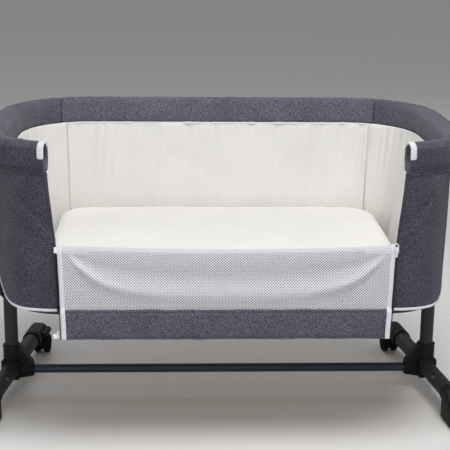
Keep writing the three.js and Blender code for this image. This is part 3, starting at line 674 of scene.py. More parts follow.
TWIN = (2, 4)  # the section's corners that lie in the twin stitching
RAIL_THICKNESS = (0.046, 0.024, 0.034)  # at the ends, along the sides and in the corners


def rail_grid(s):
    _, n = plan(s)
    thickness = inset_at(n, *RAIL_THICKNESS)
    sections = np.array([rail_section(t) for t in thickness])
    return sections[..., 0], sections[..., 1], thickness


def soften(points, s, side, bends, seams, seed):
    """Puckers where the cover goes round a bend, a pinch at its seams and a faint unevenness everywhere."""
    n = outer_normals(points)
    from_middle = np.linalg.norm(points - points.mean(1, keepdims=True), axis=2)
    along = np.broadcast_to(s[:, None], points.shape[:2])
    field = np.stack([along * side, points[..., 2], from_middle], -1)
    fine = noise_at(field, (34, 26, 20), 3.1 + seed)
    pleat = noise_at(field, (120, 14, 10), 7.7 + seed, 1)
    bend = np.clip(bends(along), 0, 1)
    shift = 0.0006 * fine + 0.0008 * pleat * bend
    for at in seams:
        shift -= 0.0016 * falloff(along - at, 0.0035)
        shift += 0.0006 * falloff(along - at, 0.03) * noise_at(field, (260, 10, 10), 1.3, 1)
    return points + n * shift[..., None], n


def corner_bend(along):
    """1 in the middle of the plan's corners and 0 on its straights."""
    a = HALF_LENGTH - CORNER
    first = falloff(along - (a + QUARTER / 2), 0.12)
    second = falloff(along - (AROUND - a - QUARTER / 2), 0.12)
    return 0.25 + 0.75 * np.maximum(first, second)


rail_edges = {}
for side, label in SIDES:
    s = np.array([OPENING, OPENING + 0.002, *steps(OPENING + 0.005, SEAM - 0.004, 0.0055), SEAM - 0.0015])
    inset, z, thickness = rail_grid(s)
    body = plan_points(s, inset, z, side)
    body, out = soften(body, s, side, corner_bend, [SEAM], seed=side)
    rail_edges[label] = (s, body, out)
    # the open end: a rim, then the sleeve's dark inside
    middle = np.array([thickness[0] / 2, RAIL_TOP - 0.019])
    first = np.stack([inset[0], z[0]], -1)
    shrink_x = np.full(len(first), 0.0038 / (thickness[0] / 2))
    shrink = np.stack([shrink_x, np.where(first[:, 1] > middle[1], 0.2, 0.58)], -1)
    rim = []
    for past, amount in ((0.032, 1.0), (0.003, 1.0), (-0.0003, 0.85), (-0.0012, 0.4)):
        across, up = (middle + (first - middle) * (1 - shrink * amount)).T
        rim.append(plan_points([OPENING + past], across[None], up[None], side)[0])
    rings = np.concatenate([np.array(rim), body])
    around = run_of(body[len(body) // 2])
    u = np.concatenate([[OPENING + 0.035, OPENING + 0.006, OPENING, OPENING], s]) * side
    # painted shade: the outer face takes the deepest shaded copy of the chambray, the shoulder the middle
    # one, and the crest and inner side the faintest
    tones = ["chambray_wall", "chambray_painted_shade_mid", "chambray_side"]
    piece = outward(swept("rail_cover_" + label + "_padded", rings, tones, u, around,
                          body="basket", slot="chambray", replaces=["rail_cover_" + label]))
    corners = rings.shape[1]
    for face in list(piece.data.polygons)[: (len(rings) - 1) * corners]:
        column = face.index % corners
        face.material_index = 0 if column < 10 else 1 if column < 14 else 2
    for k, column in enumerate(TWIN):
        stitches(f"rail_stitch_{label}_{k}", (body + out * STITCH_LIFT)[2:-1, column], out[2:-1, column])

# the back's straight run, between the two seams
half_s = np.concatenate([[SEAM + 0.0015], steps(SEAM + 0.004, AROUND, 0.0055)])
inset, z, _ = rail_grid(half_s)
right_half = plan_points(half_s, inset, z, 1)
left_half = plan_points(half_s, inset, z, -1)[::-1][1:]
rings = np.concatenate([right_half, left_half])
s = np.concatenate([half_s, 2 * AROUND - half_s[::-1][1:]])
back_band, back_out = soften(rings, s, 1, lambda q: 0.35 + 0 * q, [SEAM, 2 * AROUND - SEAM], seed=5)
piece = outward(swept("rail_cover_back_padded", back_band, "chambray", s, run_of(back_band[40]),
                      body="basket", slot="chambray", replaces=["rail_cover_back"]))
raised = back_band + back_out * STITCH_LIFT
for k, column in enumerate(TWIN):
    stitches(f"rail_stitch_back_{k}", raised[2:-2, column], back_out[2:-2, column])


# ---------- the outer cover ----------
COVER_HEAD = RAIL_FOOT + 0.0005


def head_inset(p, n):
    return np.full(len(n), 0.0048)


def foot_inset(p, n):
    """The cover's foot stands in a little at the long sides, and its ends taper in to square corners."""
    nx, ny = abs(n[:, 0]), abs(n[:, 1])
    end = HALF_LENGTH - (0.4665 - 0.24 * np.hypot(p[:, 1] - CENTRE_Y, 0.012))
    to_side = (CORNER - 0.0055) / np.maximum(ny, 1e-9)
    to_end = (0.4665 - 0.24 * (HALF_WIDTH - CORNER) - (HALF_LENGTH - CORNER)) / (nx + 0.24 * ny)
    bend = CORNER - (to_side**-6 + to_end**-6) ** (-1 / 6)
    return np.where(nx < 1e-6, 0.0055, np.where(ny < 1e-6, end, bend))


def cut_x(z):
    """Where the cover's leaning front edge is, at each height."""
    return np.interp(z, [COVER_FOOT, FOLD.z, RAIL_FOOT], [0.3140, 0.3165, 0.3325])


def widening(k):
    """The share of the way from the foot's outline to the rail's, with a flare under the rail."""
    return np.interp(k, [0, 0.80, 0.87, 0.92, 0.96, 1], [0, 0.16, 0.21, 0.36, 0.66, 1])


def cover_grid(start_of, end, side, head, foot, at_head, at_foot, rows, cols, share=lambda k: k):
    """A wall's sheet: each height starts at the leaning edge and runs round to the far seam."""
    z = np.linspace(foot, head, cols)
    start = start_of(z)
    t = np.linspace(0, 1, rows)
    s = start[None, :] + (end - start[None, :]) * t[:, None]
    points = np.empty((rows, cols, 3))
    for j in range(cols):
        p, n = plan(s[:, j])
        k = (z[j] - foot) / (head - foot)
        inset = at_foot(p, n) * (1 - share(k)) + at_head(p, n) * share(k)
        points[:, j] = plan_points(s[:, j], inset[:, None], np.full((rows, 1), z[j]), side)[:, 0]
    return points, s, np.broadcast_to(z, (rows, cols))


def s_at_x(x):
    return np.array([s_of_x(v) for v in x])


def side_normals(s, side):
    """Level outward directions at each point of a side sheet's grid."""
    return np.stack([np.pad(plan(column, side)[1], ((0, 0), (0, 1))) for column in s.T], 1)


def back_grid(start, size, z, at_foot, at_head, share=lambda k: k):
    """The back wall's sheet between its seams: its points, outward directions, and each point's s and z."""
    s = np.concatenate([steps(start, AROUND, size), steps(AROUND, 2 * AROUND - start, size)[1:]])
    flip = np.where(s > AROUND, -1.0, 1.0)
    p, out = plan(np.where(s > AROUND, 2 * AROUND - s, s))
    k = share((z - z[0]) / (z[-1] - z[0]))
    inset = at_foot(p, out)[:, None] * (1 - k) + at_head(p, out)[:, None] * k
    xy = p[:, None, :] - out[:, None, :] * inset[..., None]
    points = np.concatenate([xy, np.broadcast_to(z, inset.shape)[..., None]], -1)
    points[..., 0] *= flip[:, None]
    out = np.pad(out * np.stack([flip, np.ones_like(flip)], -1), ((0, 0), (0, 1)))
    return points, np.broadcast_to(out[:, None, :], points.shape), *np.meshgrid(s, z, indexing="ij")


def hem_shape(field, seed):
    """Short pulls up from the hem's stitching."""
    return noise_at(field, (62, 6, 1), seed, 1) * falloff(field[..., 1] - COVER_FOOT, 0.05)


COVER_THICKNESS, HEM, DART = 0.0018, 0.0125, 0.484  # HEM above the foot, DART along the outline
cover_sheets = {}
for side, label in SIDES:
    rows, cols = 190, 58
    points, s, z = cover_grid(lambda q: s_at_x(cut_x(q)), SEAM - 0.0008, side, COVER_HEAD, COVER_FOOT,
                              head_inset, foot_inset, rows, cols, widening)
    n = side_normals(s, side)
    k = (z - COVER_FOOT) / (COVER_HEAD - COVER_FOOT)
    belly = np.sin(math.pi * np.clip(k, 0, 1))
    field = np.stack([s * side, z, np.zeros_like(s)], -1)
    slack = noise_at(field, (7, 4, 1), 2.2 + side, 3)
    # drape lines that run down and out from the rail's open end
    near = falloff(s - OPENING, 0.10)
    diagonal = noise_at(np.stack([s + 0.45 * z, 0.2 * z, np.zeros_like(s)], -1), (26, 5, 1), 4.0 + side, 2)
    # one soft ridge climbs back from the fold's corner, with a hollow on each side of it
    climb = (s - s[:1]) - 0.85 * (z - 0.403)
    held = np.clip((z - 0.40) / 0.02, 0, 1) * np.clip((0.515 - z) / 0.04, 0, 1)
    hollows = 0.8 * falloff(climb + 0.019, 0.009) + 0.6 * falloff(climb - 0.022, 0.014)
    shift = belly * (0.0018 * slack + 0.0030 * diagonal * (0.25 + near))
    shift += 0.0010 * hem_shape(field, 9.0 + side) + 0.0030 * held * (falloff(climb, 0.010) - hollows)
    shift -= 0.0009 * falloff(z - COVER_FOOT - HEM, 0.0022)
    shift -= 0.0014 * (falloff(s - DART, 0.0028) + falloff(s - SEAM, 0.003))
    points = points + n * (shift + 0.0002)[..., None]
    height = COVER_HEAD - COVER_FOOT
    front = points if side < 0 else points[::-1]
    order = s[:, 0] if side < 0 else s[::-1, 0]
    # painted shade: the outer cover wears the deepest shaded copy of the chambray
    sheet = closed_sheet("outer_cover_" + label + "_cloth", front, COVER_THICKNESS, "chambray_wall",
                         order * side, z[0],
                         body="basket", slot="chambray", replaces=["outer_cover_" + label])
    cover_sheets[label] = (points, n, s)
    row = int(np.argmin(abs(z[0] - COVER_FOOT - HEM)))
    raised = points + n * STITCH_LIFT
    stitches("hem_stitch_" + label, raised[1:-1, row], n[1:-1, row])
    column = int(np.argmin(abs(s[:, 20] - DART)))
    for nudge in (-2, 2):
        line = raised[column + nudge, 2:-3]
        stitches(f"cover_seam_{label}_{nudge + 2}", line, n[column + nudge, 2:-3], pitch=0.0040)

z_line = np.linspace(COVER_FOOT, COVER_HEAD, 58)
points, n, along, height = back_grid(SEAM + 0.0008, 0.0055, z_line, foot_inset, head_inset, widening)
field = np.stack([along, height, 0 * along], -1)
belly = np.sin(math.pi * (height - COVER_FOOT) / (COVER_HEAD - COVER_FOOT))
slack = 0.0022 * noise_at(field, (6, 4, 1), 12.0, 3) + 0.0010 * noise_at(field, (24, 5, 1), 15.0, 2)
shift = belly * slack
shift += 0.0008 * hem_shape(field, 19.0) - 0.0009 * falloff(height - COVER_FOOT - HEM, 0.0022)
for at in (SEAM, 2 * AROUND - SEAM):
    shift -= 0.0014 * falloff(along - at, 0.003)
points = points + n * (shift + 0.0002)[..., None]
# painted shade: the back's outer cover wears the deepest shaded copy of the chambray
sheet = closed_sheet("outer_cover_back_cloth", points, COVER_THICKNESS, "chambray_wall", along[:, 0], z_line,
                     body="basket", slot="chambray", replaces=["outer_cover_back"])
row = int(np.argmin(abs(z_line - COVER_FOOT - HEM)))
stitches("hem_stitch_back", (points + n * STITCH_LIFT)[1:-1, row], n[1:-1, row])


def thinned(line, gap):
    """Which points of a line to keep, so that none follows its neighbour by less than the gap."""
    return np.concatenate([[True], np.linalg.norm(np.diff(line, axis=0), axis=1) > gap])


# piping round the cover's foot, from one side of the opening to the other
left, right = cover_sheets["left"], cover_sheets["right"]
foot_line = np.concatenate([left[0][:, 0], points[::-1, 0], right[0][::-1, 0]])
foot_out = np.concatenate([left[1][:, 0], n[::-1, 0], right[1][::-1, 0]])
foot_line = (foot_line + foot_out * 0.0006 - np.array([0, 0, 0.0012]))[thinned(foot_line, 0.0025)]
tube_along("foot_piping", foot_line, 0.0030, "piping", sides=12, body="basket", slot="white_trim")


# ---------- the lining ----------
LINING_FOOT, LINING_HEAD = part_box("lining_back")[0].z, RAIL_FOOT + 0.0008
LINING_SEAM = AROUND - s_of_x(0.350)
LINING_THICKNESS = 0.0016


def lining_head_inset(p, n):
    return inset_at(n, 0.0445, 0.0225, 0.0325)


def lining_foot_inset(p, n):
    return inset_at(n, 0.105, 0.040, 0.043)


def gathers(s, z, seed, strength):
    """Inward shift of the lining: soft vertical folds that start at the rail, over a slow unevenness."""
    k = np.clip((z - LINING_FOOT) / (LINING_HEAD - LINING_FOOT), 0, 1)
    top = np.clip((k - 0.2) / 0.8, 0, 1)
    upright = np.stack([s, z, 0 * s], -1)
    leaning = np.stack([s + 0.10 * (z - LINING_HEAD), z, 0 * s], -1)
    folds = noise_at(leaning, (34, 3.0, 1), seed, 2)
    sharp_folds = 0.5 - abs(noise_at(leaning, (48, 2.2, 1), seed + 2, 1)) * 2.2
    small = noise_at(upright, (95, 7, 1), seed + 4, 1)
    slow = noise_at(upright, (7, 5, 1), seed + 8, 2)
    shift = 0.0030 * (folds + sharp_folds) * (0.4 + 0.6 * top) * strength
    return (1 - falloff(z - LINING_HEAD, 0.004)) * (shift + 0.0018 * (small * top**2 + slow))


def seam_dip(s, at):
    return -0.0020 * falloff(s - at, 0.003)


lining_edges = {}
for side, label in SIDES:
    rows, cols = 190, 46
    points, s, z = cover_grid(lambda q: s_at_x(cut_x(q)), LINING_SEAM, side, LINING_HEAD, LINING_FOOT,
                              lining_head_inset, lining_foot_inset, rows, cols)
    n = side_normals(s, side)
    k = np.clip((z - FOLD.z) / (LINING_HEAD - FOLD.z), 0, 1)
    draw = falloff(s - s[:1], 0.055) * (0.008 + 0.014 * (1 - k))
    inward = gathers(s, z, 21.0 + side, 0.8) + seam_dip(s, LINING_SEAM) - draw
    points = points - n * inward[..., None]
    lining_edges[label] = (points, n, s)
    front = points[::-1] if side < 0 else points
    order = s[::-1, 0] if side < 0 else s[:, 0]
    sheet = closed_sheet("lining_" + label + "_cloth", front, LINING_THICKNESS, "lining", order * side, z[0],
                         body="basket", slot="lining", replaces=["lining_" + label])

z_line = np.linspace(LINING_FOOT, LINING_HEAD, 46)
points, n, along, height = back_grid(LINING_SEAM, 0.005, z_line, lining_foot_inset, lining_head_inset)
inward = gathers(along, height, 31.0, 1.0)
inward += seam_dip(along, LINING_SEAM) + seam_dip(along, 2 * AROUND - LINING_SEAM)
lining_back = points - n * inward[..., None]
sheet = closed_sheet("lining_back_cloth", lining_back[::-1], LINING_THICKNESS, "lining", along[::-1, 0],
                     z_line, body="basket", slot="lining", replaces=["lining_back"])

# the white hem where the lining meets the rail
left, right = lining_edges["left"], lining_edges["right"]
head = np.concatenate([right[0][:, -1], lining_back[1:, -1], left[0][::-1, -1][1:]])
head_out = np.concatenate([right[1][:, -1], n[1:, -1], left[1][::-1, -1][1:]])
hem = (head - head_out * 0.0004 - np.array([0, 0, 0.0026]))[thinned(head, 0.002)]
tube_along("lining_hem", hem, 0.0011, "tape", sides=10, flat=2.0, body="basket", slot="lining")


# ---------- the opening's edges ----------
def strip_between(a, b, bulge, away, cols=7):
    """Points from line a to line b, bowed out along away."""
    t = np.linspace(0, 1, cols)
    p = a[:, None] * (1 - t)[None, :, None] + b[:, None] * t[None, :, None]
    return p + (bulge * np.sin(math.pi * t))[None, :, None] * np.asarray(away)[None, None]


heights = np.linspace(0.2830, RAIL_FOOT - 0.0006, 60)
for side, label in SIDES:
    cover, lining = (sheets[label][0][0] for sheets in (cover_sheets, lining_edges))
    a = on_line(heights, cover[:, 2], cover)
    b = on_line(heights, lining[:, 2], lining)
    p = strip_between(a, b, 0.0022, (-side, 0, 0))
    strip = closed_sheet("opening_binding_" + label, p if side > 0 else p[::-1], 0.0016, "chambray_binding",
                         np.linspace(0, 0.25, 60), np.linspace(0, 0.02, 7), body="basket", slot="chambray")
    across = max(0.0105, float(np.linalg.norm(np.diff(p, axis=1), axis=2).sum(1).mean()))
    # a welt on the cover's edge with the zip's dark coil beside it, and the lining's pale edge
    welt = a + np.array([-side * 0.0004, -0.0006, 0])
    tube_along("opening_welt_" + label, welt, 0.0019, "chambray_binding",
               sides=10, up=(0, 1, 0), body="basket", slot="chambray")
    upper = heights > FOLD.z + 0.002
    tube_along("lining_edge_" + label, (b + np.array([-side * 0.0010, 0.0004, 0]))[upper], 0.0013, "lining",
               sides=10, up=(0, 1, 0), body="basket", slot="lining")
    # white binding over the rail's open end
    s, band, out = rail_edges[label]
    outer = [j for j in range(6, 23) if band[0, j, 2] > (0.5585 if j < 12 else 0.578)]
    cap = band[:4, outer] + out[:4, outer] * 0.0007
    tangent = band[0, outer] - band[2, outer]
    tangent /= np.linalg.norm(tangent, axis=1, keepdims=True)
    rim = band[0, outer] - out[0, outer] * 0.0010 + tangent * 0.0022
    inside = band[0, outer] - out[0, outer] * 0.0042 + tangent * 0.0006
    cap = np.concatenate([[inside], [rim], [cap[0] + tangent * 0.0014], cap])
    white = closed_sheet("rail_end_binding_" + label, cap if side < 0 else cap[::-1], -0.0009, "tape",
                         run_of(cap[:, 5]), run_of(cap[3]), body="basket", slot="white_trim")
    smooth = white.modifiers.new("smooth", "SUBSURF")
    smooth.levels = smooth.render_levels = 1


# ---------- mattress ----------
def cloth_puffed(node, name, voxel, pressure, limit, shrink, look, body):
    """A padded body: the CAD solid remeshed finely, shrunk a little and blown up as cloth."""
    mesh = NODES[node].data.copy()
    work = bmesh.new()
    work.from_mesh(mesh)
    bmesh.ops.remove_doubles(work, verts=work.verts, dist=2e-6)
    work.to_mesh(mesh)
    work.free()
    mesh.materials.clear()
    made = bpy.data.objects.new(name, mesh)
    scene.collection.objects.link(made)
    remesh = made.modifiers.new("remesh", "REMESH")
    remesh.mode, remesh.voxel_size, remesh.use_smooth_shade = "VOXEL", voxel, True
    mesh = bpy.data.meshes.new_from_object(made.evaluated_get(bpy.context.evaluated_depsgraph_get()))
    made.modifiers.clear()
    made.data = mesh
    before = np.array([v.co for v in mesh.vertices])
    middle = before.mean(0)
    before = middle + (before - middle) * (1 - shrink)
    mesh.vertices.foreach_set("co", before.astype(np.float32).ravel())
    cloth = made.modifiers.new("cloth", "CLOTH")
    cloth.settings.use_pressure = True
    cloth.settings.uniform_pressure_force = pressure
    cloth.settings.effector_weights.gravity = 0
    cloth.settings.quality = 4
    for f in range(1, 21):
        scene.frame_set(f)
    done = made.evaluated_get(bpy.context.evaluated_depsgraph_get())
    after = np.array([v.co for v in done.data.vertices])
    made.modifiers.clear()
    scene.frame_set(1)
    shift = after - before
    size = np.linalg.norm(shift, axis=1, keepdims=True)
    shift *= np.minimum(1, limit / np.maximum(size, 1e-9))
    before = before + shift
    mesh.vertices.foreach_set("co", before.astype(np.float32).ravel())
    mesh.materials.append(LOOK[look])
    mesh.polygons.foreach_set("use_smooth", [True] * len(mesh.polygons))
    mesh.update()
    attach(made, body)
    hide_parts(node)
    return made


low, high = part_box("mattress")
mattress = cloth_puffed("mattress", "mattress_padded", voxel=0.0055, pressure=4.0, limit=0.007, shrink=0.006,
                        look="mattress", body="basket")
co = np.array([v.co for v in mattress.data.vertices])
across_x = np.clip(abs(co[:, 0]) / high.x, 0, 1)
across_y = np.clip(abs(co[:, 1] - CENTRE_Y) / (high.y - CENTRE_Y), 0, 1)
crown = 0.006 * (1 - across_x**4) * (1 - across_y**4) - 0.003
field = np.stack([co[:, 0], co[:, 1], 0 * co[:, 0]], -1)
ease = 0.0012 * noise_at(field, (9, 11, 1), 5.5, 3)
upper = np.clip((co[:, 2] - (low.z + high.z) / 2) / ((high.z - low.z) / 2), 0, 1)
co[:, 2] += (crown + ease) * upper
co[:, 2] = np.maximum(co[:, 2], low.z)
mattress.data.vertices.foreach_set("co", co.astype(np.float32).ravel())
mattress.data.update()
smooth = mattress.modifiers.new("smooth", "SUBSURF")
smooth.levels = smooth.render_levels = 1


# ---------- the low front wall ----------
PANEL_LOW, PANEL_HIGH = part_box("drop_band_cover")


def half_width(z):
    """The drop side narrows a little from the fold to its free edge."""
    return np.interp(z, [PANEL_LOW.z, FOLD.z], [0.3005, 0.3055])


def sag(x, z, low):
    """How far the fold hangs down towards its middle, easing off to nothing at the height low."""
    return 0.0065 * np.clip(1 - (x / 0.3055) ** 2, 0, 1) * np.clip((z - low) / (0.392 - low), 0, 1)


low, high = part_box("front_wall")
front_y, inner_y = low.y, high.y
facing_side = [(0.0006, low.z + 0.002), (0, low.z + 0.02), (-0.0002, 0.34), (0.0004, 0.385)]
crest = [(0.0010, 0.3925), (0.0028, 0.3962), (0.0055, 0.3968)]
crest += [(0.0085, 0.3935), (0.0120, 0.3850), (0.0185, 0.3640)]
bed_side = [(-0.0075, 0.3420), (-0.0015, 0.3200), (0, 0.2960), (-0.0020, 0.2860), (-0.0090, low.z + 0.0006)]
outline = [(front_y + y, z) for y, z in facing_side + crest] + [(inner_y + y, z) for y, z in bed_side]
outline = np.array([*outline, (front_y + 0.008, low.z)])
dense = []
for k in range(len(outline)):
    a, b = outline[k], outline[(k + 1) % len(outline)]
    count = max(1, int(np.linalg.norm(b - a) / 0.006))
    dense += [a + (b - a) * i / count for i in range(count)]
dense = np.array(dense)
x_line = np.array([low.x + 0.0045, *steps(low.x + 0.008, high.x - 0.008, 0.006), high.x - 0.0045])
rings = np.empty((len(x_line), len(dense), 3))
rings[..., 0] = x_line[:, None]
rings[..., 1:] = dense[None]
rings[..., 2] -= sag(rings[..., 0], rings[..., 2], 0.335)
centre = rings.mean(1, keepdims=True)[[0, -1]]
rings[[0, -1]] = centre + (rings[[0, -1]] - centre) * 0.9
n = outer_normals(rings)
inner_side = np.clip((rings[..., 1] - (front_y + 0.006)) / 0.01, 0, 1)
rings = rings + n * (0.0014 * noise_at(rings, (16, 12, 14), 8.0, 2) * inner_side)[..., None]
looks = ["lining", "facing", "chambray_binding"]
wall = outward(swept("front_wall_padded", rings, looks, x_line, np.linspace(0, 0.30, len(dense)),
                     body="basket", slot="lining", replaces=["front_wall"]))
# painted shade: the front face below the fold takes the dark facing colour seen through the mesh
for face in wall.data.polygons:
    if face.normal.y < -0.75 and face.center.z < 0.3868:
        face.material_index = 1
    if abs(face.center.x) > half_width(face.center.z) + 0.003:
        face.material_index = 2

# ---------- the drop side ----------
MESH_Y = (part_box("drop_mesh")[0].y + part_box("drop_mesh")[1].y) / 2
FOLD_RUN = 0.022  # how far along the panel's run the fold is


def panel_path(lift, foot):
    """The drop side's run over the wall's top and down its front, lifted off the cloth's middle."""
    knots = [(-0.2700, 0.3865), (-0.2742, 0.3945), (-0.2780, 0.3985), (-0.2815, 0.3998), (-0.2850, 0.3990)]
    knots += [(-0.2878, 0.3962), (MESH_Y, 0.3915), (MESH_Y, 0.3850), (MESH_Y, 0.3600), (MESH_Y, foot)]
    knots = np.array(knots)
    run = run_of(knots)
    t = np.linspace(0, run[-1], 160)
    y, z = np.interp(t, run, knots[:, 0]), np.interp(t, run, knots[:, 1])
    for _ in range(3):
        y[1:-1] = (y[:-2] + 2 * y[1:-1] + y[2:]) / 4
        z[1:-1] = (z[:-2] + 2 * z[1:-1] + z[2:]) / 4
    dy, dz = np.gradient(y), np.gradient(z)
    size = np.hypot(dy, dz)
    y, z = y + lift * dz / size, z - lift * dy / size
    return run_of(np.stack([y, z], -1)), y, z


def on_panel(u, v, path):
    """A point of the panel: u from -1 to 1 across it, v along its run. Folds hang from its top corners."""
    run, y, z = path
    py, pz = np.interp(v, run, y), np.interp(v, run, z)
    x = u * half_width(pz)
    free = np.clip((run[-1] - v) / 0.05, 0, 1) * np.clip((v - 0.030) / 0.03, 0, 1)
    corner = np.maximum(0, 0.306 - np.hypot(x, 0.06))
    down = np.maximum(0, v - FOLD_RUN)
    swag = falloff(down - 0.098 * (1 - np.exp(-corner / 0.06)), 0.007 + 0.055 * corner)
    hollow = falloff(down - 0.062 * (1 - np.exp(-corner / 0.08)), 0.006 + 0.070 * corner)
    pleat = falloff(corner - 0.34 * down, 0.004 + 0.13 * down)
    out = 0.0078 * swag - 0.0026 * hollow + 0.0030 * pleat
    return x, py - free * np.clip((1 - abs(u)) * 14, 0, 1) * out, pz - sag(x, pz, PANEL_HIGH.z)


def lattice(name, pitch, hole, lift, foot, offset):
    """Open mesh cloth: diamonds, each with a hole. hole is half the hole's width, in pitches."""
    path = panel_path(lift, foot)
    total = path[0][-1]
    width = 2 * float(half_width(0.33))
    cols, rows = int(width / pitch), int(total / pitch)
    verts, faces, index = [], [], {}

    def vertex(a, b):
        key = (round(a, 3), round(b, 3))
        if key not in index:
            u = 2 * a / cols - 1
            u += min(1, 8 * (1 - abs(u))) * 2 * offset / cols
            v = b * total / rows
            x, y, z = on_panel(u, v, path)
            index[key] = len(verts)
            verts.append((x, y + 0.0003 * noise.noise(Vector((x * 60, v * 60, offset * 9))), z))
        return index[key]

    centres = [(i + 0.5, j + 0.5) for i in range(cols) for j in range(rows)]
    centres += [(i, j) for i in range(1, cols) for j in range(1, rows)]
    ways = ((1, 0), (0, -1), (-1, 0), (0, 1))
    for cx, cy in centres:
        outer = [vertex(cx + 0.5 * x, cy + 0.5 * y) for x, y in ways]
        inner = [vertex(cx + hole * x, cy + hole * y) for x, y in ways]
        for k in range(4):
            n = (k + 1) % 4
            faces.append([outer[k], outer[n], inner[n], inner[k]])
    for j, way in ((0, 0.5), (rows, -0.5)):
        for i in range(1, cols):
            faces.append([vertex(i + way, j), vertex(i - way, j), vertex(i, j + way)])
    for i, way in ((0, 0.5), (cols, -0.5)):
        for j in range(1, rows):
            faces.append([vertex(i, j - way), vertex(i, j + way), vertex(i + way, j)])
    made = build(name, verts, faces, "mesh", slot="mesh")
    layer = made.data.uv_layers.new(name="cloth")
    flat = np.array([(v[0], v[2]) for v in verts], np.float32)
    loops = np.empty(len(made.data.loops), np.int32)
    made.data.loops.foreach_get("vertex_index", loops)
    layer.data.foreach_set("uv", flat[loops].ravel())
    solid = made.modifiers.new("thickness", "SOLIDIFY")
    solid.thickness, solid.offset = 0.0005, 0
    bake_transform(made)
    return made


MESH_PITCH, MESH_FOOT = 0.0053, PANEL_HIGH.z - 0.0015
outer_mesh = lattice("drop_mesh_outer", MESH_PITCH, 0.325, 0.0009, MESH_FOOT, 0.0)
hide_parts("drop_mesh")
lattice("drop_mesh_inner", MESH_PITCH, 0.335, -0.0010, MESH_FOOT, 0.03)

# the chambray band on its free edge
deep, tall = (PANEL_HIGH.y - PANEL_LOW.y) / 2, (PANEL_HIGH.z - PANEL_LOW.z) / 2
band_y, band_z = (PANEL_HIGH.y + PANEL_LOW.y) / 2, (PANEL_HIGH.z + PANEL_LOW.z) / 2
angles = np.linspace(0, TAU, 72, endpoint=False)
sy, sz = superellipse(angles, deep - 0.0004, tall - 0.0003, 5.0)
BAND_ROWS = ((tall - 0.0045, "top"), (-tall + 0.006, "foot"))  # the band's two rows of stitches
pinch = 0.0016 * falloff(sz - BAND_ROWS[0][0], 0.0020) + 0.0010 * falloff(sz - BAND_ROWS[1][0], 0.0022)
sy = sy - np.sign(sy) * pinch
ends = np.array([0.0, 0.0008, 0.0025, 0.006])
inner = np.linspace(-1, 1, 110)
x_unit = inner * (1 - 0.007 / 0.30)
x_list = np.concatenate([-(0.3 - ends) / 0.3, x_unit[1:-1], ((0.3 - ends) / 0.3)[::-1]])
squeeze = np.concatenate([[0.55, 0.85, 0.96, 1.0], np.ones(len(x_unit) - 2), [1.0, 0.96, 0.85, 0.55]])
rings = np.empty((len(x_list), 72, 3))
rings[..., 1] = band_y + sy[None] * squeeze[:, None]
rings[..., 2] = band_z + sz[None] * (1 - (1 - squeeze[:, None]) * 0.12)
rings[..., 0] = x_list[:, None] * half_width(rings[..., 2])
n = outer_normals(rings)
soft = 0.0009 * noise_at(rings, (14, 1, 22), 6.0, 3) + 0.0005 * noise_at(rings, (70, 1, 18), 16.0, 1)
rings = rings + n * soft[..., None]
# painted shade: the band wears the faintest shaded copy of the chambray
band = outward(swept("drop_band_padded", rings, "chambray_side", x_list * 0.3, run_of(rings[50]),
                     body="drop_side", slot="chambray", replaces=["drop_band_cover"]))
facing = [j for j in range(72) if math.cos(angles[j]) < -0.3]
for level, where in BAND_ROWS:
    j = min(facing, key=lambda q: abs(sz[q] - level))
    stitches("band_stitch_" + where, (rings + n * STITCH_LIFT)[4:-4, j], n[4:-4, j], body="drop_side")


# ---------- zip tapes, sliders and the small white fittings at the fold ----------
def ribbon(name, centre, across, up, half, thick, look, **kw):
    """A flat tape along a line of points, rounded over its thickness."""
    centre, across, up = (np.asarray(q, float) for q in (centre, across, up))
    t = np.array([-1, -0.92, 0, 0.92, 1, 0.92, 0, -0.92])
    h = np.array([0, 1, 1, 1, 0, -1, -1, -1]) * thick / 2
    rings = centre[:, None] + across[:, None] * (t * half)[None, :, None] + up[:, None] * h[None, :, None]
    return outward(swept(name, rings, look, run_of(centre), t * half, **kw))


def coil(name, points, across, up, half, pitch, look, **kw):
    """A zip's coil: one low tooth after another, lying across the line."""
    points, across, up = (np.asarray(q, float) for q in (points, across, up))
    run = run_of(points)
    verts, faces = [], []
    for q in np.arange(0.001, run[-1], pitch):
        p, a, h = (on_line(q, run, w) for w in (points, across, up))
        t = np.cross(a, h)
        t /= np.linalg.norm(t)
        base = len(verts)
        for w in (-1, -0.5, 0.5, 1):
            lift = 0.0006 if abs(w) < 0.9 else 0.0001
            r = pitch * 0.36 if abs(w) < 0.9 else pitch * 0.2
            for sx, sh in ((-1, 0), (0, 1), (1, 0), (0, -0.4)):
                verts.append(p + a * half * w + t * r * sx + h * (lift * 0.6 + lift * sh))
        for k in range(3):
            first = base + 4 * k
            for m in range(4):
                n = (m + 1) % 4
                faces.append((first + m, first + n, first + 4 + n, first + 4 + m))
        faces += [(base, base + 1, base + 2, base + 3), (base + 15, base + 14, base + 13, base + 12)]
    return outward(build(name, verts, faces, look, **kw))


path = panel_path(0.0021, PANEL_LOW.z)
run, py, pz = path
v = np.linspace(0.006, run[-1] - 0.0022, 90)
cy, cz = np.interp(v, run, py), np.interp(v, run, pz)
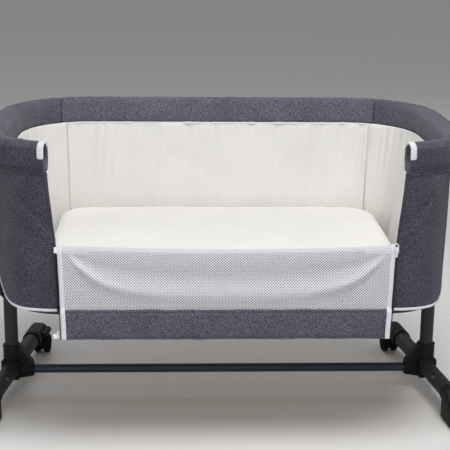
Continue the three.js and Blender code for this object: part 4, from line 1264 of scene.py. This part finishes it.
# over the band the tape lies on the band's own face
on_band = np.clip((PANEL_HIGH.z + 0.004 - cz) / 0.008, 0, 1)
cy = cy * (1 - on_band) + (PANEL_LOW.y - 0.0004) * on_band
dy, dz = np.gradient(cy), np.gradient(cz)
size = np.hypot(dy, dz)
out = np.stack([0 * dy, dz / size, -dy / size], -1)
for side, label in SIDES:
    wander = 0.0007 * np.array([noise.noise(Vector((q * 22, side * 3.1, 0.4))) for q in v])
    x = side * (half_width(cz) + wander)
    centre = np.stack([x, cy, cz], -1)
    across = np.broadcast_to(np.array([side * 1.0, 0, 0]), centre.shape)
    made = ribbon("zip_tape_" + label, centre, across, out, 0.0046, 0.0016, "tape", slot="white_trim")
    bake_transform(made)
    hanging = cz < 0.388
    line = centre + across * 0.0058 + out * 0.0003
    coil("zip_coil_" + label, line[hanging], across[hanging], out[hanging], 0.0017, 0.0021, "thread",
         body="drop_side", slot="chambray")
    stitch = (centre - across * 0.0030 + out * 0.0009)[hanging]
    stitches("zip_tape_stitch_" + label, stitch, out[hanging], "thread_pale", "drop_side",
             pitch=0.0032, length=0.0021, radius=0.0003)


def block(name, low, high, look, bevel, **kw):
    """A small moulded block between two corners, with rounded edges."""
    corners = [(x, y, z) for x in (low[0], high[0]) for y in (low[1], high[1]) for z in (low[2], high[2])]
    rounded(outward(build(name, corners, BOX_FACES, look, **kw)), bevel, 3)


def loop_along(name, points, radius, look, sides=12, flat=1.0, away=(0, -1, 0), **kw):
    """A closed ring of wire through points, flattened along away."""
    tangents = np.roll(points, -1, axis=0) - np.roll(points, 1, axis=0)
    tangents /= np.linalg.norm(tangents, axis=1, keepdims=True)
    away = np.broadcast_to(np.array(away, float), points.shape)
    rings = rings_about(points, radius, sides, flat, np.cross(tangents, away), away)
    return outward(build(name, rings.reshape(-1, 3), grid_faces(len(points), sides, True, True), look, **kw))


for side, label in SIDES:
    low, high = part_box("zip_slider_" + label)
    mid = (low + high) / 2
    kw = dict(body="zip_slider_" + label, slot="white_trim")
    # the slider: two shields with a slot between them for the tape, joined by a core
    tall_half = (high.z - low.z) / 2 - 0.0006
    t = np.linspace(-1, 1, 17)
    wide = 0.0034 - 0.0010 * np.clip(-t, 0, 1) ** 1.4 - 0.0022 * np.clip((abs(t) - 0.82) / 0.18, 0, 1) ** 2
    angles = np.linspace(0, TAU, 40, endpoint=False)
    for name, y, deep in (("front", -0.0022, 0.0011), ("back", 0.0020, 0.0010), ("core", 0.0, 0.0016)):
        narrow, short = (0.45, 0.9) if name == "core" else (1.0, 1.0)
        rings = np.empty((len(t), len(angles), 3))
        rings[..., 2] = mid.z + t[:, None] * tall_half * short
        for k, (tt, w) in enumerate(zip(t, wide)):
            sx, sy = superellipse(angles, w * narrow, deep * (1 - 0.5 * max(0, abs(tt) - 0.8) / 0.2), 3.2)
            rings[k, :, 0], rings[k, :, 1] = mid.x + sx, mid.y + y + sy
        outward(swept(f"zip_slider_{label}_{name}", rings, "coil", t * tall_half, angles * 0.003,
                      replaces=["zip_slider_" + label] if name == "front" else (), **kw))
    bow = np.linspace(-1, 1, 17)
    arch = np.stack([np.full(17, mid.x), mid.y - 0.0028 - 0.0030 * (1 - bow**4), mid.z + bow * 0.0042], -1)
    tube_along(f"zip_bridge_{label}", arch, 0.0010, "coil", sides=12, up=(1, 0, 0), **kw)
    # its pull: a tab lying outwards on the left, a ring standing up past the fold on the right
    angles = np.linspace(0, TAU, 48, endpoint=False)
    sx, sz = superellipse(angles, 0.0046, 0.0056, 2.3)
    ring_x, ring_z = mid.x - 0.0016, mid.z + 0.0150
    ring = np.stack([ring_x + sx, mid.y - 0.0052 + 0.05 * sz, ring_z + sz], -1)
    if side < 0:
        near_corner, far_corner = Vector((-0.0098, -0.0064, -0.0062)), Vector((-0.0012, -0.0044, 0.0030))
        block("zip_tab", mid + near_corner, mid + far_corner, "coil", 0.0009, **kw)
    else:
        loop_along("zip_ring", ring, 0.0011, "coil", flat=0.8, **kw)
        ring_foot = (ring_x, mid.y - 0.0051, ring_z - 0.0052)
        neck = np.linspace((mid.x, mid.y - 0.0052, mid.z + 0.001), ring_foot, 9)
        tube_along("zip_ring_link", neck, 0.0012, "coil", sides=12, up=(0, 1, 0), **kw)
    # the tape's white end box, beside the fold
    left, right = sorted((side * 0.3095, side * 0.3155))
    block("zip_stop_" + label, (left, FOLD.y - 0.0080, 0.3895), (right, FOLD.y - 0.0035, 0.4003),
          "coil", 0.0012, body="basket", slot="white_trim")


# ---------- tubes ----------
def pipe(name, node, origin, axis, radius, wall, start, end, look, body, lip=0.0004):
    profile = [(radius - wall, start), (radius - lip, start), (radius, start + lip)]
    profile += [(radius, end - lip), (radius - lip, end), (radius - wall, end)]
    return turned(name, profile, origin, axis, look, 64, body=body, slot="tube_paint", replaces=[node])


def long_pipe(name, node, wall, look, body, reach=None):
    """A straight tube along X in a CAD tube's place, with its ends there or at reach each way."""
    low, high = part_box(node)
    origin = (0, (low.y + high.y) / 2, (low.z + high.z) / 2)
    start, end = (-reach, reach) if reach else (low.x, high.x)
    pipe(name, node, origin, (1, 0, 0), (high.z - low.z) / 2, wall, start, end, look, body)


def bored(made, origin, axis, radius, start, end):
    """Drills a round hole through a body."""
    outline = [(0, start), (radius, start), (radius, end), (0, end)]
    drill = turned("drill", outline, origin, axis, "paint", 32)
    cut = made.modifiers.new("hole", "BOOLEAN")
    cut.object, cut.solver = drill, "EXACT"
    mesh = bpy.data.meshes.new_from_object(made.evaluated_get(bpy.context.evaluated_depsgraph_get()))
    made.modifiers.clear()
    made.data = mesh
    mesh.set_sharp_from_angle(angle=math.radians(32))
    bpy.data.objects.remove(drill)


JOINTS = {joint["child"]: joint for joint in frame["joints"]}
POST_X = (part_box("post_right")[0].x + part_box("post_right")[1].x) / 2
POST_RADIUS = (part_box("post_right")[1].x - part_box("post_right")[0].x) / 2
SLEEVE_LOW, SLEEVE_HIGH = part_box("post_sleeve_right")
BAR_LOW, BAR_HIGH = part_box("crossbar")
UP = (0, 0, 1)
FOOT_Z = 0.050
ROUND_RADIUS = 0.017  # of the foot tubes and of the sleeves on the posts
FOOT_REAR, FOOT_FRONT = -0.178, 0.168  # where a foot tube ends, from its post
BUTTON_AT = 0.092  # the snap button, from the post

for side, label in SIDES:
    post = (side * POST_X, CENTRE_Y, 0)
    pipe("post_tube_" + label, "post_" + label, post, UP, POST_RADIUS, 0.0018,
         POST_LOW.z, POST_HIGH.z, "paint", "stand")
    pipe("sleeve_tube_" + label, "post_sleeve_" + label, post, UP, ROUND_RADIUS, 0.0027,
         SLEEVE_LOW.z, SLEEVE_HIGH.z, "sleeve", "basket", 0.0008)
    # a moulded guide ring on the sleeve's lower end
    rim = [(0.0145, 0.2105), (0.0182, 0.2105), (0.0190, 0.2115), (0.0190, 0.2155), (0.0176, 0.2170)]
    rim += [(0.0172, 0.2170), (0.0172, 0.2138), (0.0145, 0.2138)]
    turned("sleeve_guide_" + label, rim, post, UP, "plastic", body="basket", slot="black_plastic")
    axle = Vector(JOINTS[f"castor_wheel_{label}_outer"]["axis"])
    forward = Vector((axle.y, -axle.x, 0))
    foot = Vector((side * POST_X, CENTRE_Y, FOOT_Z))
    tube = pipe("foot_tube_" + label + "_round", "foot_tube_" + label, foot, forward, ROUND_RADIUS, 0.0024,
                FOOT_REAR, FOOT_FRONT, "paint", "stand")
    press = Vector(JOINTS["foot_button_" + label]["axis"])
    at = foot + forward * BUTTON_AT
    bored(tube, at, -press, 0.0041, 0.004, 0.030)
    dome = [(0, 0.0094), (0.0047, 0.0094), (0.0047, 0.0107), (0.0038, 0.0107), (0.0038, 0.0174)]
    dome += [(0.00365, 0.0182), (0.0032, 0.0189), (0.0024, 0.0194), (0.0012, 0.0196), (0, 0.01965)]
    turned("foot_button_" + label + "_dome", dome, at, -press, "dull_steel", 40,
           body="foot_button_" + label, slot="steel", replaces=["foot_button_" + label])

# painted reflection: the crossbar wears the blue-tinted copy of the frame's paint
long_pipe("crossbar_tube", "crossbar", 0.0015, "bar_paint", "stand")
long_pipe("rail_tube_back_round", "rail_tube_back", 0.0016, "paint", "basket")
long_pipe("drop_rail_round", "drop_rail_tube", 0.0012, "paint", "drop_side", reach=0.2955)
for label in ("front", "back"):
    long_pipe("base_rail_" + label, "base_tube_" + label, 0.0015, "paint", "basket")


def bent_pipe(name, node, side, half_x, half_y, corner, straight, z, radius):
    """A tube that follows a rounded rectangle round one end of the basket."""
    a, b = half_x - corner, half_y - corner
    turn = np.linspace(0, math.pi / 2, 40)
    line = [(a + corner * math.sin(t), -b - corner * math.cos(t)) for t in turn]
    line += [(a + corner * math.cos(t), b + corner * math.sin(t)) for t in turn]
    line = [(straight, -half_y), *line, (straight, half_y)]
    points = np.array([(side * x, y + CENTRE_Y, z) for x, y in line])
    run = run_of(points)
    points = on_line(np.linspace(0, run[-1], 120), run, points)
    tube_along(name, points, radius, "paint", sides=32, body="basket", slot="tube_paint", replaces=[node])


low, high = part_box("base_tube_right")
tube_radius, tube_z = (high.z - low.z) / 2, (low.z + high.z) / 2
BASE_CORNER, BASE_JOINT = 0.105, 0.250  # the corners' radius, and the X where the long tubes plug in
for side, label in SIDES:
    bent_pipe("base_rail_" + label, "base_tube_" + label, side, high.x - tube_radius,
              (high.y - low.y) / 2 - tube_radius, BASE_CORNER, BASE_JOINT, tube_z, tube_radius)
    # swaged joints where the long tubes plug in
    ring = [(0.0088, 0.0), (0.0093, 0.0), (0.0098, 0.0006), (0.0098, 0.0144), (0.0093, 0.015)]
    ring.append((0.0088, 0.015))
    for where, y in (("front", low.y + tube_radius), ("back", high.y - tube_radius)):
        turned(f"base_joint_{label}_{where}", ring, (side * BASE_JOINT, y, tube_z), (side, 0, 0),
               "paint", 48, body="basket", slot="tube_paint")
    s = np.linspace(OPENING + 0.036, AROUND - 0.279, 120)
    _, n = plan(s, side)
    middle = inset_at(n, *RAIL_THICKNESS) / 2
    line = plan_points(s, middle[:, None], np.full((120, 1), RAIL_TOP - 0.015), side)[:, 0]
    tube_along("rail_tube_" + label + "_round", line, 0.0098, "paint", sides=32,
               body="basket", slot="tube_paint", replaces=["rail_tube_" + label])


# ---------- moulded parts ----------
def bezel(name, origin, axis, inner, outer, height, **kw):
    """A low raised ring with a worn lip."""
    lip = min(height, outer - inner) * 0.4
    profile = [(inner, 0), (outer, 0), (outer, height - lip), (outer - lip, height)]
    profile += [(inner + lip, height), (inner, height - lip)]
    turned(name, profile, origin, axis, "plastic", 48, **kw)


def screw(name, origin, axis, radius, body):
    """A pan head screw with a cross recess, standing a little proud."""
    profile = [(0, 0.0), (radius, 0.0), (radius, 0.0006), (radius * 0.86, 0.0013)]
    profile += [(radius * 0.5, 0.0016), (0, 0.0017)]
    turned(name, profile, origin, axis, "steel", 32, body=body, slot="steel")
    axis = Vector(axis).normalized()
    across = axis.orthogonal().normalized()
    for k, way in enumerate((across, axis.cross(across))):
        other = axis.cross(way)
        verts = []
        for u in (-1, 1):
            for v in (-1, 1):
                for w in (0.0013, 0.00185):
                    arm = way * u * radius * 0.5 + other * v * radius * 0.11
                    verts.append(Vector(origin) + arm + axis * w)
        outward(build(f"{name}_slot_{k}", verts, BOX_FACES, "plastic",
                      body=body, slot="black_plastic", smooth=False))


FINISHES = (
    ("bracket_", "plastic", "black_plastic", 0.0013, 3, 30),
    ("rear_cap_", "plastic", "black_plastic", 0.0011, 3, 30),
    ("toe_", "plastic", "black_plastic", 0.0011, 3, 30),
    ("toe_pad_", "rubber", "rubber", 0.0007),
    ("height_housing_", "plastic", "black_plastic", 0.0010, 3, 30),
    ("height_button_", "wheel", "black_plastic", 0.0008, 3, 30),
    ("castor_body_", "plastic", "black_plastic", 0.0006),
    ("brake_pedal_", "wheel", "black_plastic", 0.0005),
    ("bracket_bolt_", "steel", "steel", 0.0003),
)  # each: look, slot, edge radius, and where its edges are finer, their segments and angle
MOULDING = dict(body="stand", slot="black_plastic")
TYRE = [(0.0042, 0.0056), (0.0192, 0.0056), (0.0210, 0.0062), (0.0218, 0.0076), (0.0220, 0.0096)]
TYRE += [(0.0220, 0.0124), (0.0217, 0.0142), (0.0209, 0.0155), (0.0197, 0.0163), (0.0182, 0.0165)]
TYRE.append((0.0174, 0.0162))
HUB = [(0.0171, 0.0150), (0.0163, 0.0147), (0.0160, 0.0136), (0.0082, 0.0130), (0.0074, 0.0140)]
HUB += [(0.0072, 0.0158), (0.0066, 0.0164), (0.0050, 0.0165), (0.0042, 0.0160)]
refined("base_board", "board", "board", 0.0008)
for side, label in SIDES:
    for stem, *finish in FINISHES:
        refined(stem + label, *finish)
    out = Vector((side, 0, 0))
    post = Vector((side * POST_X, CENTRE_Y, 0))
    # bracket: a lip round the post's socket and one round the crossbar's
    lip = [(0.0143, 0.0), (0.0186, 0.0), (0.0189, 0.0006), (0.0189, 0.0038), (0.0183, 0.0046)]
    lip += [(0.0156, 0.0046), (0.0143, 0.0036)]
    turned("socket_lip_" + label, lip, post + Vector((0, 0, 0.0985)), UP, "plastic", **MOULDING)
    bar_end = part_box("bracket_" + label)[0 if side > 0 else 1].x
    bar = Vector((bar_end, CENTRE_Y, (BAR_LOW.z + BAR_HIGH.z) / 2))
    lip = [(0.0096, -0.0052), (0.0136, -0.0052), (0.0139, -0.0046), (0.0139, -0.0006), (0.0133, 0.0002)]
    lip += [(0.0104, 0.0002), (0.0096, -0.0010)]
    turned("bar_lip_" + label, lip, bar, (-side, 0, 0), "plastic", **MOULDING)
    # adjuster: a bezel round its button and two screws underneath
    low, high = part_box("height_housing_" + label)
    face = high.x if side > 0 else low.x
    press = Vector((face, CENTRE_Y, 0.238))
    bezel("button_bezel_" + label, press, out, 0.0096, 0.0124, 0.0016, body="basket", slot="black_plastic")
    for k, way in enumerate((-1, 1)):
        at = (post.x + 0.0135 * way, CENTRE_Y + 0.0175 * way, low.z + 0.0001)
        screw(f"housing_screw_{label}_{k}", at, (0, 0, -1), 0.0022, "basket")

    # castor: wheels with a tyre, a dished hub and ribs, on a steel axle
    across = Vector(JOINTS[f"castor_wheel_{label}_outer"]["axis"])
    back = Vector((-across.y, across.x, 0))
    hub = Vector(JOINTS[f"castor_wheel_{label}_outer"]["pos_m"])
    profile = [(0, -0.0170), (0.0033, -0.0170), (0.0040, -0.0163)]
    profile += [(0.0040, 0.0163), (0.0033, 0.0170), (0, 0.0170)]
    turned("axle_" + label, profile, hub, across, "black_steel", 40,
           body="castor_" + label, slot="steel", replaces=["castor_axle_" + label])
    for which, way in (("outer", side), ("inner", -side)):
        node = f"castor_wheel_{label}_{which}"
        turned(node + "_tyre", TYRE + HUB, hub, across * way, "wheel", 72,
               body=node, slot="castor_tread", replaces=[node])
        verts, faces = [], []
        for k in range(8):
            angle = TAU * k / 8
            radial = back * math.cos(angle) + Vector((0, 0, 1)) * math.sin(angle)
            beside = (across * way).cross(radial)
            base = len(verts)
            for r in (0.0076, 0.0162):
                for v in (-0.0006, 0.0006):
                    for w, spread in ((0.0130, 1.6), (0.0146, 1)):
                        verts.append(hub + radial * r + beside * v * spread + across * way * w)
            faces += [tuple(base + q for q in f) for f in BOX_FACES]
        outward(build(node + "_ribs", verts, faces, "wheel", body=node, slot="castor_tread", smooth=False))
    # grip ribs on the brake pedal's tread
    swivel = Vector(JOINTS["castor_" + label]["pos_m"])
    verts, faces = [], []
    for y in (-0.0028, 0.0, 0.0028):
        base = len(verts)
        for u in (-0.0088, 0.0088):
            for v, w in ((-0.0008, 0.0248), (-0.0004, 0.0257), (0.0004, 0.0257), (0.0008, 0.0248)):
                p = swivel + across * u + back * (0.039 + y + v)
                verts.append(Vector((p.x, p.y, w)))
        faces += [tuple(base + q for q in f) for f in
                  ((0, 1, 2, 3), (7, 6, 5, 4), (0, 4, 5, 1), (1, 5, 6, 2), (2, 6, 7, 3), (3, 7, 4, 0))]
    outward(build("pedal_grip_" + label, verts, faces, "wheel",
                  body="brake_pedal_" + label, slot="black_plastic", smooth=False))

# ---------- updating the scene ---
bpy.context.view_layer.update()
